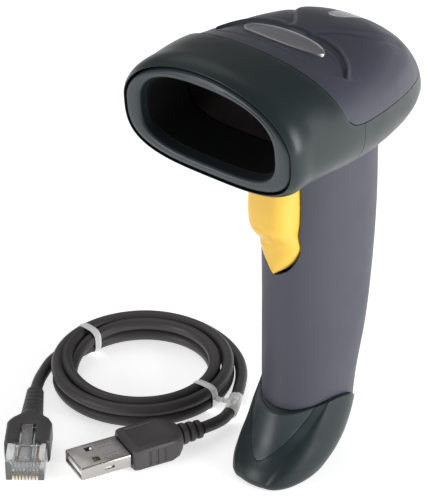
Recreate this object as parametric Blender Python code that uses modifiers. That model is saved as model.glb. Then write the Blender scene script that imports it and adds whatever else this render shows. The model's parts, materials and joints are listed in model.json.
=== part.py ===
"""Handheld barcode scanner with its detached data cable, as separate named solids.

Sizes are in millimetres and become metres where a mesh is made. The scanner stands on its foot: +Z is up,
the scan window faces -Y, and the scanner is symmetric about X = 0. The cable lies beside it, on the -X side.
"""
import math

import bmesh
import bpy
import numpy as np
from mathutils import Matrix, Vector

MM = 0.001
GAP = 0.3            # clearance left between pieces that touch
BODY_Y = 2.9         # how far the handle's front-to-back datum lies behind the scanner's middle
CABLE_Y = 0.6

# Head: stations from the nose to the back.
# Y, half width, top, height of the widest line, bottom, fullness above, fullness below
HEAD = (
    (-45.4, 31.0, 150.0, 132.0, 115.2, 1.9, 3.3),
    (-44.0, 31.5, 150.7, 132.0, 114.6, 1.95, 3.3),
    (-36.0, 31.6, 151.2, 131.2, 113.2, 2.15, 3.0),
    (-27.0, 31.5, 150.5, 129.8, 111.3, 2.4, 2.7),
    (-17.0, 30.8, 148.4, 127.6, 109.0, 2.6, 2.5),
    (-8.0, 29.6, 146.7, 125.3, 107.0, 2.8, 2.3),
    (2.0, 27.8, 145.6, 123.0, 105.3, 2.8, 2.15),
    (11.0, 25.6, 143.9, 121.1, 104.5, 2.7, 2.05),
    (20.0, 22.8, 140.6, 119.3, 104.6, 2.5, 2.0),
    (28.0, 19.3, 135.4, 117.8, 106.0, 2.3, 2.0),
    (34.0, 15.4, 130.0, 116.8, 108.4, 2.1, 2.0),
    (38.0, 11.0, 124.8, 116.2, 111.2, 2.0, 2.0),
    (40.2, 6.4, 120.4, 116.0, 113.6, 2.0, 2.0),
    (41.2, 1.5, 117.0, 116.0, 115.2, 2.0, 2.0),
)
HEAD_POINTS = 40
WALL = 2.0
RIM_WALL = 1.0
RIM_DEPTH = 5.0      # how far back the thin wall round the bezel runs
NOSE_LEAN = 0.06     # the nose leans forward by this much a millimetre of height
LEAN_END_Y = -20.0

# Openings and parts of the nose: half width, top, widest line, bottom, fullness above and below
BEZEL_OUTSIDE = (29.6, 148.6, 132.0, 116.6, 1.9, 3.3)
BEZEL_OPENING = (24.4, 145.0, 131.5, 119.6, 2.5, 3.3)
BEZEL_FACE_Y = -46.0
BEZEL_DEPTH = 3.4
HOOD_FRONT = (23.6, 144.2, 131.5, 120.4, 2.5, 3.3)
HOOD_BACK = (20.6, 141.6, 131.5, 122.8, 2.6, 3.0)
HOOD_BACK_Y = -29.0
HOOD_WALL = 1.2

# Seams: the top cover's lower edge in side view (Y, Z), and the plane between nose and rear shell
COVER_LINE = (
    (-28.3, 153.0), (-27.2, 150.5), (-25.5, 146.5), (-23.4, 141.6), (-21.0, 135.6), (-18.6, 132.3),
    (-15.2, 130.2), (-9.0, 128.6), (0.0, 127.2), (12.0, 125.3), (24.0, 123.4), (34.0, 121.9), (46.0, 120.2),
)
SHELL_SEAM_Y = -11.4

# Handle: Z, half width, half depth, middle
HANDLE = (
    (12.0, 12.0, 14.7, -0.4),
    (25.0, 12.5, 15.7, 0.5),
    (42.0, 12.9, 18.3, 3.0),
    (60.0, 13.3, 19.7, 4.6),
    (80.0, 13.7, 20.6, 5.5),
    (100.0, 14.1, 20.7, 5.6),
    (116.0, 14.3, 20.8, 5.6),
)
HANDLE_POINTS = 36
HANDLE_FULLNESS = 0.93   # 1 is an ellipse and less is fuller
HANDLE_WALL = 2.0
HANDLE_TOP = 112.0
# The handle's lower seam in side view (Y, Z)
FOOT_LINE = (
    (-22.0, 20.0), (-16.0, 21.8), (-10.0, 23.4), (-3.0, 24.3), (4.0, 22.2), (10.0, 17.8), (20.0, 12.5),
)

# Foot: Z, front, ridge x, ridge y, half width, y of the widest point, back
FOOT = (
    (0.0, -27.0, 4.2, -26.4, 11.0, -15.0, -3.0),
    (0.9, -27.8, 4.6, -27.1, 12.1, -14.0, 0.5),
    (3.5, -27.3, 5.7, -26.1, 13.4, -12.0, 5.0),
    (8.0, -24.2, 7.4, -22.2, 14.3, -7.5, 9.0),
    (13.0, -21.0, 9.4, -16.4, 14.5, -4.0, 12.2),
    (18.0, -18.9, 11.2, -11.8, 14.3, -1.5, 14.6),
    (23.0, -17.4, 12.4, -7.2, 13.8, 0.5, 16.0),
    (28.0, -16.6, 12.8, -3.5, 13.3, 1.5, 16.8),
)

# The tongue on the toe in front view, from its tip: X, Z
TONGUE_LINE = ((0.0, 7.6), (4.8, 11.3), (8.4, 17.2), (10.3, 22.6), (11.0, 27.0))

# Trigger: Z, half width, front, fullness
TRIGGER = (
    (69.6, 0.8, -16.2, 2.0),
    (70.4, 2.2, -16.6, 2.0),
    (72.6, 4.4, -17.0, 2.1),
    (76.0, 6.2, -17.2, 2.3),
    (79.2, 7.0, -17.4, 2.5),
    (81.4, 6.7, -18.2, 2.6),
    (83.4, 6.5, -19.9, 2.7),
    (86.2, 6.8, -21.6, 2.8),
    (91.0, 7.0, -22.2, 2.9),
    (98.0, 7.0, -21.8, 2.9),
    (104.0, 7.0, -20.9, 2.8),
    (108.0, 6.9, -19.8, 2.7),
    (112.0, 6.6, -17.6, 2.5),
)
TRIGGER_BACK = -8.6
TRIGGER_BOSS_BACK = -2.6
TRIGGER_BOSS_Z = 96.0
TRIGGER_PIVOT = (-5.6, 101.6)
SLOT_GAP = 0.45
TIP_DROP = 0.6       # the tip also drops as it swings back
FINGER_REST_Z = 78.0
PLUNGER_FRONT = -7.7    # just clear of the trigger's back when both are fully in
SPRING_END = -11.0
SPRING_START = -1.2

# Badge and indicator lens on the top cover
BADGE = (-10.2, 14.3, 4.8)      # middle, half length, half width
BADGE_SUNK = 1.0                # how far the badge lies under the cover's crown
BADGE_RIM = 1.5                 # width of the recess left round it
BADGE_SLOPE = math.radians(-8.0)
LENS = (11.0, 33.0, 4.6)        # front, back, half width

# Scan mirror
MIRROR_Y = -6.5      # its upright axis
MIRROR_Z = (121.0, 134.0)

# Cable
CORD_R = 1.9
COIL_CENTRE = (-62.5, -1.9)
COIL_OUTER = 28.8
COIL_INNER = 20.6
COIL_BOTTOM = 0.95
COIL_TOP = 8.5
MODULAR_TIP = (-54.6, -66.0)
MODULAR_TURN = math.radians(127.4)
MODULAR_LENGTH = 42.0
USB_TIP = (-44.5, -55.3)
USB_TURN = math.radians(66.0)
USB_LENGTH = 43.0
PLUG_Z = 4.4
TAIL_Z = 2.9
TAIL_RING = COIL_OUTER + GAP + CORD_R    # how far from the coil's middle a tail runs beside it
MODULAR_TAIL = ((-80.3, -32.4, 4.3), (-83.8, -27.2, 4.0), 217.0, 208.0, 198.0)
USB_TAIL = ((-26.9, -15.7, 4.3), (-25.3, -9.6, 3.9), (-26.4, -3.2, 3.4), (-29.8, 3.6, 3.0), (-33.4, 10.2, 2.9),
            37.0, 46.0)
LABEL_FROM = 0.36
LABEL_TO = 0.60


# ---------------------------------------------------------------- scene, materials and modelling helpers

def start_scene():
    """An empty scene with one collection for the parts and one for the cutters."""
    for obj in list(bpy.data.objects):
        bpy.data.objects.remove(obj, do_unlink=True)
    parts = bpy.data.collections.new("barcode_scanner")
    cutters = bpy.data.collections.new("cutters")
    for collection in (parts, cutters):
        bpy.context.scene.collection.children.link(collection)
    return parts, cutters


PARTS, CUTTERS = start_scene()


def frame_empty(name, x, y, z, turn=0.0):
    """An empty that a group of pieces is built round."""
    empty = bpy.data.objects.new(name, None)
    empty.location = Vector((x, y, z)) * MM
    empty.rotation_euler = (0.0, 0.0, turn)
    PARTS.objects.link(empty)
    return empty


def material(name, colour, roughness, metallic):
    """One Principled material of a colour and finish."""
    made = bpy.data.materials.new(name)
    made.use_nodes = True
    shader = made.node_tree.nodes["Principled BSDF"]
    shader.inputs["Base Color"].default_value = (*colour, 1.0)
    shader.inputs["Roughness"].default_value = roughness
    shader.inputs["Metallic"].default_value = metallic
    return made


FINISHES = {
    "nose": ((0.028, 0.040, 0.044), 0.28, 0.0),
    "cover": ((0.070, 0.075, 0.098), 0.45, 0.0),
    "grip": ((0.105, 0.110, 0.135), 0.55, 0.0),
    "bezel": ((0.075, 0.092, 0.104), 0.42, 0.0),
    "black": ((0.006, 0.007, 0.007), 0.50, 0.0),
    "yellow": ((0.86, 0.60, 0.10), 0.35, 0.0),
    "silver": ((0.62, 0.62, 0.66), 0.30, 0.9),
    "steel": ((0.55, 0.55, 0.57), 0.32, 1.0),
    "brass": ((0.70, 0.52, 0.22), 0.35, 1.0),
    "gold": ((0.83, 0.62, 0.28), 0.25, 1.0),
    "copper": ((0.72, 0.38, 0.20), 0.40, 1.0),
    "board": ((0.03, 0.16, 0.07), 0.50, 0.0),
    "chip": ((0.02, 0.02, 0.022), 0.45, 0.0),
    "lens": ((0.55, 0.56, 0.60), 0.25, 0.0),
    "glass": ((0.08, 0.01, 0.01), 0.10, 0.0),
    "mirror": ((0.90, 0.90, 0.92), 0.03, 1.0),
    "clear": ((0.80, 0.80, 0.82), 0.12, 0.0),
    "cord": ((0.115, 0.108, 0.112), 0.50, 0.0),
    "white": ((0.85, 0.85, 0.84), 0.60, 0.0),
}


def finish(obj, key):
    """Gives a piece its own material in one of the finishes."""
    colour, roughness, metallic = FINISHES[key]
    obj.data.materials.clear()
    obj.data.materials.append(material(obj.name + "_finish", colour, roughness, metallic))


def keep(obj, parent, key=None):
    """Puts an object in its collection, under its frame. One with no finish is a cutter."""
    for collection in list(obj.users_collection):
        collection.objects.unlink(obj)
    obj.parent = parent
    if key is None:
        CUTTERS.objects.link(obj)
        obj.hide_render = True
        obj.display_type = "WIRE"
        return obj
    PARTS.objects.link(obj)
    finish(obj, key)
    return obj


def mesh_from(name, points, faces):
    """An object of points in millimetres, with its faces turned outwards."""
    mesh = bpy.data.meshes.new(name)
    mesh.from_pydata([tuple(Vector(p) * MM) for p in points], [], faces)
    work = bmesh.new()
    work.from_mesh(mesh)
    bmesh.ops.triangulate(work, faces=work.faces)
    bmesh.ops.recalc_face_normals(work, faces=work.faces)
    work.to_mesh(mesh)
    work.free()
    obj = bpy.data.objects.new(name, mesh)
    bpy.context.scene.collection.objects.link(obj)
    return obj


def smooth(obj, angle=35.0):
    """Smooth shading that keeps edges sharper than an angle."""
    obj.data.shade_smooth()
    obj.data.set_sharp_from_angle(angle=math.radians(angle))
    return obj


def loft(name, rings, closed=False):
    """A solid through rings of the same number of points: capped at its ends, or closed on itself."""
    count = len(rings[0])
    points = [p for ring in rings for p in ring]
    faces = []
    spans = len(rings) if closed else len(rings) - 1
    for i in range(spans):
        a = i * count
        b = ((i + 1) % len(rings)) * count
        for j in range(count):
            k = (j + 1) % count
            faces.append((a + j, a + k, b + k, b + j))
    if not closed:
        faces.append(tuple(range(count)))
        last = (len(rings) - 1) * count
        faces.append(tuple(last + j for j in range(count)))
    return mesh_from(name, points, faces)


def box(name, low, high, bevel=0.0):
    """A block between two corners, with bevelled edges."""
    low = Vector(low)
    high = Vector(high)
    bpy.ops.mesh.primitive_cube_add(size=1.0)
    obj = bpy.context.object
    obj.name = name
    obj.data.name = name
    obj.data.transform(Matrix.Diagonal((*((high - low) * MM), 1.0)))
    obj.location = (low + high) / 2 * MM
    if bevel:
        soften(obj, bevel)
    return obj


def soften(obj, width, segments=1, angle=40.0):
    """Bevels the edges that are sharper than an angle."""
    edge = obj.modifiers.new("edge", "BEVEL")
    edge.width = width * MM
    edge.segments = segments
    edge.limit_method = "ANGLE"
    edge.angle_limit = math.radians(angle)
    return obj


def rod(name, start, end, radius, sides=20, end_radius=None):
    """A cylinder or cone between two points."""
    start = Vector(start)
    end = Vector(end)
    along = end - start
    last = radius if end_radius is None else end_radius
    work = bmesh.new()
    bmesh.ops.create_cone(work, cap_ends=True, segments=sides, radius1=radius * MM, radius2=last * MM,
                          depth=along.length * MM)
    mesh = bpy.data.meshes.new(name)
    work.to_mesh(mesh)
    work.free()
    mesh.transform(along.to_track_quat("Z", "Y").to_matrix().to_4x4())
    obj = bpy.data.objects.new(name, mesh)
    bpy.context.scene.collection.objects.link(obj)
    obj.location = (start + end) / 2 * MM
    return smooth(obj)


def turned(name, profile, start, direction, sides=24, closed=False):
    """A turned piece: (distance along, radius) pairs from its far end back to its start, or round a ring."""
    mesh = bpy.data.meshes.new(name)
    points = [(radius * MM, 0.0, along * MM) for along, radius in profile]
    edges = [(i, i + 1) for i in range(len(points) - 1)]
    if closed:
        edges.append((len(points) - 1, 0))
    mesh.from_pydata(points, edges, [])
    obj = bpy.data.objects.new(name, mesh)
    bpy.context.scene.collection.objects.link(obj)
    turn = obj.modifiers.new("turn", "SCREW")
    turn.steps = sides
    turn.render_steps = sides
    turn.use_merge_vertices = True
    turn.merge_threshold = 0.00002
    obj.location = Vector(start) * MM
    obj.rotation_euler = Vector(direction).to_track_quat("Z", "Y").to_euler()
    return obj


def as_mesh(curve_object):
    """The mesh of a curve object, with its caps welded, in the curve's place."""
    graph = bpy.context.evaluated_depsgraph_get()
    mesh = bpy.data.meshes.new_from_object(curve_object.evaluated_get(graph))
    work = bmesh.new()
    work.from_mesh(mesh)
    bmesh.ops.remove_doubles(work, verts=work.verts, dist=0.000002)
    bmesh.ops.recalc_face_normals(work, faces=work.faces)
    work.to_mesh(mesh)
    work.free()
    name = curve_object.name
    place = curve_object.matrix_world.copy()
    bpy.data.objects.remove(curve_object, do_unlink=True)
    obj = bpy.data.objects.new(name, mesh)
    obj.matrix_world = place
    bpy.context.scene.collection.objects.link(obj)
    return obj


def tube(name, points, radius, resolution=2, cyclic=False):
    """A round wire along points, with filled caps."""
    curve = bpy.data.curves.new(name, "CURVE")
    curve.dimensions = "3D"
    curve.bevel_depth = radius * MM
    curve.bevel_resolution = resolution
    curve.use_fill_caps = True
    spline = curve.splines.new("POLY")
    spline.points.add(len(points) - 1)
    for place, point in zip(spline.points, points):
        place.co = (*(Vector(point) * MM), 1.0)
    spline.use_cyclic_u = cyclic
    obj = bpy.data.objects.new(name, curve)
    bpy.context.scene.collection.objects.link(obj)
    return smooth(as_mesh(obj), 60.0)


def plate(name, outline, low, high, plane="YZ"):
    """A flat outline given thickness: in the YZ plane it runs along X, in XZ along Y and in XY along Z."""
    curve = bpy.data.curves.new(name, "CURVE")
    curve.dimensions = "2D"
    curve.fill_mode = "BOTH"
    curve.extrude = (high - low) / 2 * MM
    spline = curve.splines.new("POLY")
    spline.points.add(len(outline) - 1)
    for place, (a, b) in zip(spline.points, outline):
        place.co = (a * MM, b * MM, 0.0, 1.0)
    spline.use_cyclic_u = True
    obj = bpy.data.objects.new(name, curve)
    bpy.context.scene.collection.objects.link(obj)
    obj = as_mesh(obj)
    middle = (low + high) / 2 * MM
    turns = {
        "YZ": Matrix(((0, 0, 1, middle), (1, 0, 0, 0), (0, 1, 0, 0), (0, 0, 0, 1))),
        "XZ": Matrix(((1, 0, 0, 0), (0, 0, -1, middle), (0, 1, 0, 0), (0, 0, 0, 1))),
        "XY": Matrix.Translation((0.0, 0.0, middle)),
    }
    obj.data.transform(turns[plane])
    return obj


def cut(obj, cutter, operation="DIFFERENCE"):
    """Cuts a piece with another solid."""
    step = obj.modifiers.new(cutter.name, "BOOLEAN")
    step.operation = operation
    step.solver = "EXACT"
    step.object = cutter
    return obj


def copy_of(obj, name):
    """A second object of the same shape."""
    twin = obj.copy()
    twin.data = obj.data.copy()
    twin.name = name
    bpy.context.scene.collection.objects.link(twin)
    return twin


def comb(name, low, high, count, strip, across):
    """A row of contacts stamped as one piece: blades side by side, joined by a strip at their far end."""
    along = 2 if across == 0 else 0
    near, far = low[along], high[along]
    blade = (high[across] - low[across]) / (2 * count - 1)
    points = [(high[across], far), (low[across], far)]
    for i in range(count):
        start = low[across] + 2 * blade * i
        points += [(start, far - strip), (start, near), (start + blade, near), (start + blade, far - strip)]
    if across == 0:
        return plate(name, points, low[1], high[1], "XZ")
    return plate(name, [(b, a) for a, b in points], low[2], high[2], "XY")


# ---------------------------------------------------------------- curves and sections

def through(knots, count):
    """Points of a smooth curve through knots, evenly spread over its length."""
    knots = np.array(knots, float)
    padded = np.vstack([2 * knots[0] - knots[1], knots, 2 * knots[-1] - knots[-2]])
    fine = []
    for i in range(1, len(padded) - 2):
        p0, p1, p2, p3 = padded[i - 1:i + 3]
        for t in np.linspace(0.0, 1.0, 24, endpoint=False):
            fine.append(0.5 * (2 * p1 + (p2 - p0) * t + (2 * p0 - 5 * p1 + 4 * p2 - p3) * t * t
                               + (3 * p1 - p0 - 3 * p2 + p3) * t ** 3))
    fine.append(knots[-1])
    fine = np.array(fine)
    reach = np.concatenate([[0.0], np.cumsum(np.linalg.norm(np.diff(fine, axis=0), axis=1))])
    wanted = np.linspace(0.0, reach[-1], count)
    return np.stack([np.interp(wanted, reach, fine[:, k]) for k in range(fine.shape[1])], axis=1)


def between(table, at):
    """A row of a table of stations, read between them."""
    rows = np.array(table, float)
    return np.array([np.interp(at, rows[:, 0], rows[:, k]) for k in range(1, rows.shape[1])])


def power(value, exponent):
    """A power that keeps the sign."""
    return math.copysign(abs(value) ** exponent, value)


def outline(shape, count, grow=0.0):
    """(X, Z) points of a section that is fuller or rounder above and below its widest line."""
    half, top, wide, bottom, above, below = shape
    points = []
    for i in range(count):
        angle = 2 * math.pi * i / count
        full = above if math.sin(angle) >= 0 else below
        rise = (top - wide if math.sin(angle) >= 0 else wide - bottom) + grow
        x = (half + grow) * power(math.cos(angle), 2 / full)
        points.append((x, wide + rise * power(math.sin(angle), 2 / full)))
    return points


def lean(y, z):
    """How far forward the nose leans at a height."""
    share = max(0.0, min(1.0, (LEAN_END_Y - y) / (LEAN_END_Y - BEZEL_FACE_Y)))
    return y - NOSE_LEAN * share * (z - BEZEL_OUTSIDE[2])


def section(shape, y, count=HEAD_POINTS, grow=0.0):
    """A leaning ring of points across the head."""
    return [(x, lean(y, z), z) for x, z in outline(shape, count, grow)]


def head_solid(name, grow=0.0):
    """The head's outer form, or its inside for a negative grow, which is open through the nose."""
    rings = []
    for row in HEAD:
        y, half, top, wide, bottom, above, below = row
        if grow == 0.0:
            rings.append(section((half, top, wide, bottom, above, below), y))
            continue
        inset = -RIM_WALL if y < HEAD[0][0] + RIM_DEPTH else grow
        if min(half, top - wide, wide - bottom) + inset < 1.5:
            break
        rings.append(section((half, top, wide, bottom, above, below), y, grow=inset))
    if grow:
        rings[0] = [(x, y - 6.0, z) for x, y, z in rings[0]]
    return smooth(loft(name, rings), 50.0)


def ellipse(half_x, half_y, middle_y, z, count=HANDLE_POINTS):
    """A level ring round the handle, a little fuller than an ellipse."""
    ring = []
    for i in range(count):
        angle = 2 * math.pi * i / count
        y = middle_y + half_y * power(math.sin(angle), HANDLE_FULLNESS)
        ring.append((half_x * power(math.cos(angle), HANDLE_FULLNESS), y, z))
    return ring


def handle_solid(name, low, high, inset=0.0, levels=9):
    """The handle's form between two heights."""
    rings = []
    for z in np.linspace(low, high, levels):
        half_x, half_y, middle = between(HANDLE, z)
        rings.append(ellipse(half_x - inset, half_y - inset, middle, z))
    return smooth(loft(name, rings), 50.0)


def above_cover_line(line, shift):
    """A side view outline: everything above the top cover's seam, moved down and forward by a shift."""
    points = [(y - 0.7 * shift, z - 0.7 * shift) for y, z in line]
    return points + [(60.0, 170.0), (line[0][0], 170.0)]


def above_foot_line(name, shift, top, frame):
    """A cutter: everything above the seam between handle and foot, raised by a shift."""
    line = [(y, z + shift) for y, z in through(FOOT_LINE, 14)]
    points = [(-40.0, line[0][1])] + line + [(45.0, line[-1][1]), (45.0, top), (-40.0, top)]
    return keep(plate(name, points, -30, 30), frame)


# ---------------------------------------------------------------- head

def head_shells(frame):
    """Nose cover, top cover and rear shell, cut from one hollow form along their seams."""
    inside = keep(head_solid("head_inside", -WALL), frame)
    line = [tuple(p) for p in through(COVER_LINE, 26)]
    above = keep(plate("above_cover_seam", above_cover_line(line, -GAP / 2), -45, 45), frame)
    below = keep(plate("below_cover_seam", above_cover_line(line, GAP / 2), -45, 45), frame)
    front = keep(box("nose_side", (-45, -70, 95), (45, SHELL_SEAM_Y - GAP / 2, 170)), frame)
    back = keep(box("rear_side", (-45, SHELL_SEAM_Y + GAP / 2, 95), (45, 60, 170)), frame)
    grip = keep(handle_solid("handle_way", 88.0, 122.0, -GAP, 3), frame)

    nose = keep(head_solid("nose_cover"), frame, "nose")
    cut(nose, inside)
    cut(nose, below)
    cut(nose, front, "INTERSECT")
    cut(nose, grip)
    cut(nose, trigger_way(frame, "nose_slot", -22.4))

    cover = keep(head_solid("top_cover"), frame, "cover")
    cut(cover, inside)
    cut(cover, above, "INTERSECT")
    badge_pocket(cover, frame)
    lens_pocket(cover, frame)

    rear = keep(head_solid("rear_shell"), frame, "nose")
    cut(rear, inside)
    cut(rear, below)
    cut(rear, back, "INTERSECT")
    cut(rear, grip)


def top_height(y):
    """The height of the head's top on its middle line."""
    return float(between(HEAD, y)[1])


def oval(half_x, half_y, count=32):
    """Points of an oval."""
    points = []
    for i in range(count):
        angle = 2 * math.pi * i / count
        points.append((half_x * math.cos(angle), half_y * math.sin(angle)))
    return points


def badge_pocket(cover, frame):
    """The shallow oval recess that the badge sits in."""
    middle = BADGE[0]
    pocket = plate("badge_recess", oval(BADGE[1] + BADGE_RIM, BADGE[2] + BADGE_RIM / 2), -0.3, 8.0, "XY")
    pocket.location = (0.0, middle * MM, (top_height(middle) - BADGE_SUNK) * MM)
    pocket.rotation_euler = (BADGE_SLOPE, 0.0, 0.0)
    cut(cover, keep(pocket, frame))


def badge(frame):
    """Blank oval name plate with a rounded edge."""
    middle = BADGE[0]
    obj = plate("badge_plate", oval(BADGE[1], BADGE[2]), 0.0, 0.7, "XY")
    soften(obj, 0.35, 2)
    obj.location = (0.0, middle * MM, (top_height(middle) - BADGE_SUNK) * MM)
    obj.rotation_euler = (BADGE_SLOPE, 0.0, 0.0)
    keep(smooth(obj), frame, "silver")


def teardrop(grow=0.0, count=28):
    """The indicator lens in plan: round in front, drawn out to a point behind."""
    front, back, half = LENS
    points = []
    for i in range(count):
        angle = 2 * math.pi * i / count
        along = (1 - math.cos(angle)) / 2
        y = front - grow + (back - front + 2 * grow) * along
        width = (half + grow) * math.sin(angle) * (1.0 - 0.55 * along)
        points.append((width, y))
    return points


def lens_pocket(cover, frame):
    """The opening in the top cover that the indicator lens fills."""
    cut(cover, keep(plate("lens_way", teardrop(GAP), 100.0, 170.0, "XY"), frame))


def indicator_lens(frame):
    """Translucent teardrop that follows the cover's curve."""
    obj = keep(head_solid("indicator_lens"), frame, "lens")
    cut(obj, keep(head_solid("lens_inside", -1.6), frame))
    cut(obj, keep(plate("lens_outline", teardrop(), 110.0, 170.0, "XY"), frame), "INTERSECT")
    smooth(obj)


def bezel(frame):
    """Satin ring round the scan window, flat in front with rounded edges."""
    out = BEZEL_OUTSIDE
    hole = BEZEL_OPENING
    face = BEZEL_FACE_Y
    back = face + BEZEL_DEPTH
    rings = [
        section(out, back),
        section(out, face + 0.7),
        section(out, face, grow=-0.7),
        section(hole, face, grow=0.5),
        section(hole, face + 0.5),
        section(hole, back),
    ]
    keep(smooth(loft("window_bezel", rings, closed=True)), frame, "bezel")


def hood(frame):
    """Black light hood between the bezel's lip and the exit window."""
    front = BEZEL_FACE_Y + BEZEL_DEPTH + GAP
    back = HOOD_BACK_Y
    rings = [
        section(HOOD_FRONT, front),
        section(HOOD_BACK, back),
        section(HOOD_BACK, back, grow=HOOD_WALL),
        section(HOOD_FRONT, front + 2.0, grow=HOOD_WALL + 0.3),
        section(HOOD_FRONT, front, grow=HOOD_WALL + 0.3),
    ]
    keep(smooth(loft("light_hood", rings, closed=True)), frame, "black")


def gasket(frame):
    """Thin rubber seal between the bezel and the nose cover's rim."""
    y = BEZEL_FACE_Y + BEZEL_DEPTH + GAP
    out = BEZEL_OUTSIDE
    rings = [
        section(out, y, grow=-1.1),
        section(out, y, grow=-0.2),
        section(out, y + 1.0, grow=-0.2),
        section(out, y + 1.0, grow=-1.1),
    ]
    keep(loft("bezel_gasket", rings, closed=True), frame, "black")


def scan_window(frame):
    """Tinted exit window behind the hood."""
    y = HOOD_BACK_Y + GAP
    rings = [section(HOOD_BACK, y, grow=0.6), section(HOOD_BACK, y + 1.2, grow=0.6)]
    keep(loft("scan_window", rings), frame, "glass")


# ---------------------------------------------------------------- handle, foot and trigger

def trigger_outline(grow):
    """The trigger's front view (X, Z)."""
    rows = [(z, half) for z, half, front, full in TRIGGER]
    right = [(half + grow, z - (TIP_DROP if z < FINGER_REST_Z else 0.0)) for z, half in rows]
    right[0] = (rows[0][1] + grow, rows[0][0] - TIP_DROP - grow)
    right[-1] = (rows[-1][1] + grow, rows[-1][0] + 8.0)
    return right + [(-x, z) for x, z in reversed(right)]


def trigger_way(frame, name, front):
    """The slot that the trigger swings in, from a front plane into the handle."""
    return keep(plate(name, trigger_outline(SLOT_GAP), front, -6.0, "XZ"), frame)


def handle(frame):
    """Hollow grip: open at the foot and at the head, with the trigger's slot in front."""
    grip = keep(handle_solid("handle_grip", 10.0, HANDLE_TOP), frame, "grip")
    cut(grip, keep(handle_solid("handle_inside", 4.0, 124.0, HANDLE_WALL, 6), frame))
    cut(grip, above_foot_line("above_foot_seam", GAP / 2, HANDLE_TOP, frame), "INTERSECT")
    cut(grip, trigger_way(frame, "handle_slot", -32.0))


def foot_ring(row, count=10):
    """A level section of the boot-shaped foot: flat toe, two ridges, full sides and a round back."""
    z, front, ridge_x, ridge_y, half, wide_y, back = row
    toe = []
    for i in range(5):
        t = i / 4
        toe.append((ridge_x * t, front + (ridge_y - front) * t ** 2.2))
    side = []
    for i in range(1, count):
        t = math.pi / 2 * i / count
        y = ridge_y + (wide_y - ridge_y) * (1 - math.cos(t))
        side.append((ridge_x + (half - ridge_x) * math.sin(t), y))
    heel = []
    for i in range(count):
        t = math.pi / 2 * i / (count - 1)
        heel.append((half * math.cos(t), wide_y + (back - wide_y) * math.sin(t)))
    right = toe + side + heel
    left = [(-x, y) for x, y in reversed(right[1:-1])]
    return [(x, y, z) for x, y in right + left]


def foot(frame):
    """Boot-shaped foot cap with a collar that plugs into the handle and a way for the cable's plug."""
    cap = keep(smooth(loft("foot_cap", [foot_ring(row) for row in FOOT]), 28.0), frame, "nose")
    cut(cap, above_foot_line("above_foot_cap", -GAP / 2, 40.0, frame))
    collar = keep(handle_solid("foot_collar", 16.0, 29.0, HANDLE_WALL + GAP, 3), frame)
    cut(cap, collar, "UNION")
    cut(cap, keep(box("socket_way", (-8.6, -9.8, 8.1), (8.6, 5.8, 40.0)), frame))
    cut(cap, keep(box("plug_way", (-6.4, -5.4, -5.0), (6.4, 3.6, 9.0)), frame))
    cut(cap, keep(tongue_solid("inlay_recess", frame, GAP, 1.5), frame))


def tongue_solid(name, frame, grow, depth):
    """The rounded tongue on the toe: the part of the foot's skin inside a tongue-shaped front view."""
    right = [(x + grow, z) for x, z in TONGUE_LINE[1:]]
    knots = [(-x, z) for x, z in reversed(right)] + [(0.0, TONGUE_LINE[0][1] - grow)] + right
    points = [tuple(p) for p in through(knots, 20)]
    slab = plate(name, points, -32.0, -2.0, "XZ")
    inner = keep(smooth(loft(name + "_inner", [foot_ring_inset(row, depth) for row in FOOT])), frame)
    cut(slab, inner)
    return slab


def foot_ring_inset(row, depth):
    """A foot section moved back by a depth, for the floor of the tongue's recess."""
    return [(x, y + depth, z) for x, y, z in foot_ring(row)]


def foot_inlay(frame):
    """Tongue-shaped inlay in the toe, flush with it."""
    obj = keep(loft("foot_inlay", [foot_ring(row) for row in FOOT]), frame, "bezel")
    cut(obj, keep(tongue_solid("inlay_outline", frame, 0.0, 1.2), frame), "INTERSECT")
    cut(obj, above_foot_line("above_foot_inlay", -GAP / 2, 40.0, frame))


def trigger(frame, pivot):
    """Two-finger trigger: bulged above, stepped back at the finger rest, pointed below."""
    rings = []
    count = 11
    for z, half, front, full in TRIGGER:
        ring = []
        for i in range(count):
            t = math.pi * i / (count - 1)
            x = half * power(math.cos(t), 2 / full)
            reach = 6.0 if front > -18.0 else 8.0
            y = (front + reach) - reach * power(math.sin(t), 2 / full)
            ring.append((x, y, z))
        back = TRIGGER_BOSS_BACK if z > TRIGGER_BOSS_Z else TRIGGER_BACK
        ring.append((-half, back, z))
        ring.append((half, back, z))
        rings.append(ring)
    obj = smooth(loft("trigger", rings), 50.0)
    y, z = TRIGGER_PIVOT
    obj.data.transform(Matrix.Translation(Vector((0.0, -y, -z)) * MM))
    keep(obj, pivot, "yellow")
    cut(obj, keep(rod("trigger_bore", (-12, 0, 0), (12, 0, 0), 1.35, 16), pivot))
    pocket = keep(box("spring_pocket", (-3.2, SPRING_END - 1.4, 85.6), (3.2, 0.0, 92.0)), frame)
    cut(obj, pocket)


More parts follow.
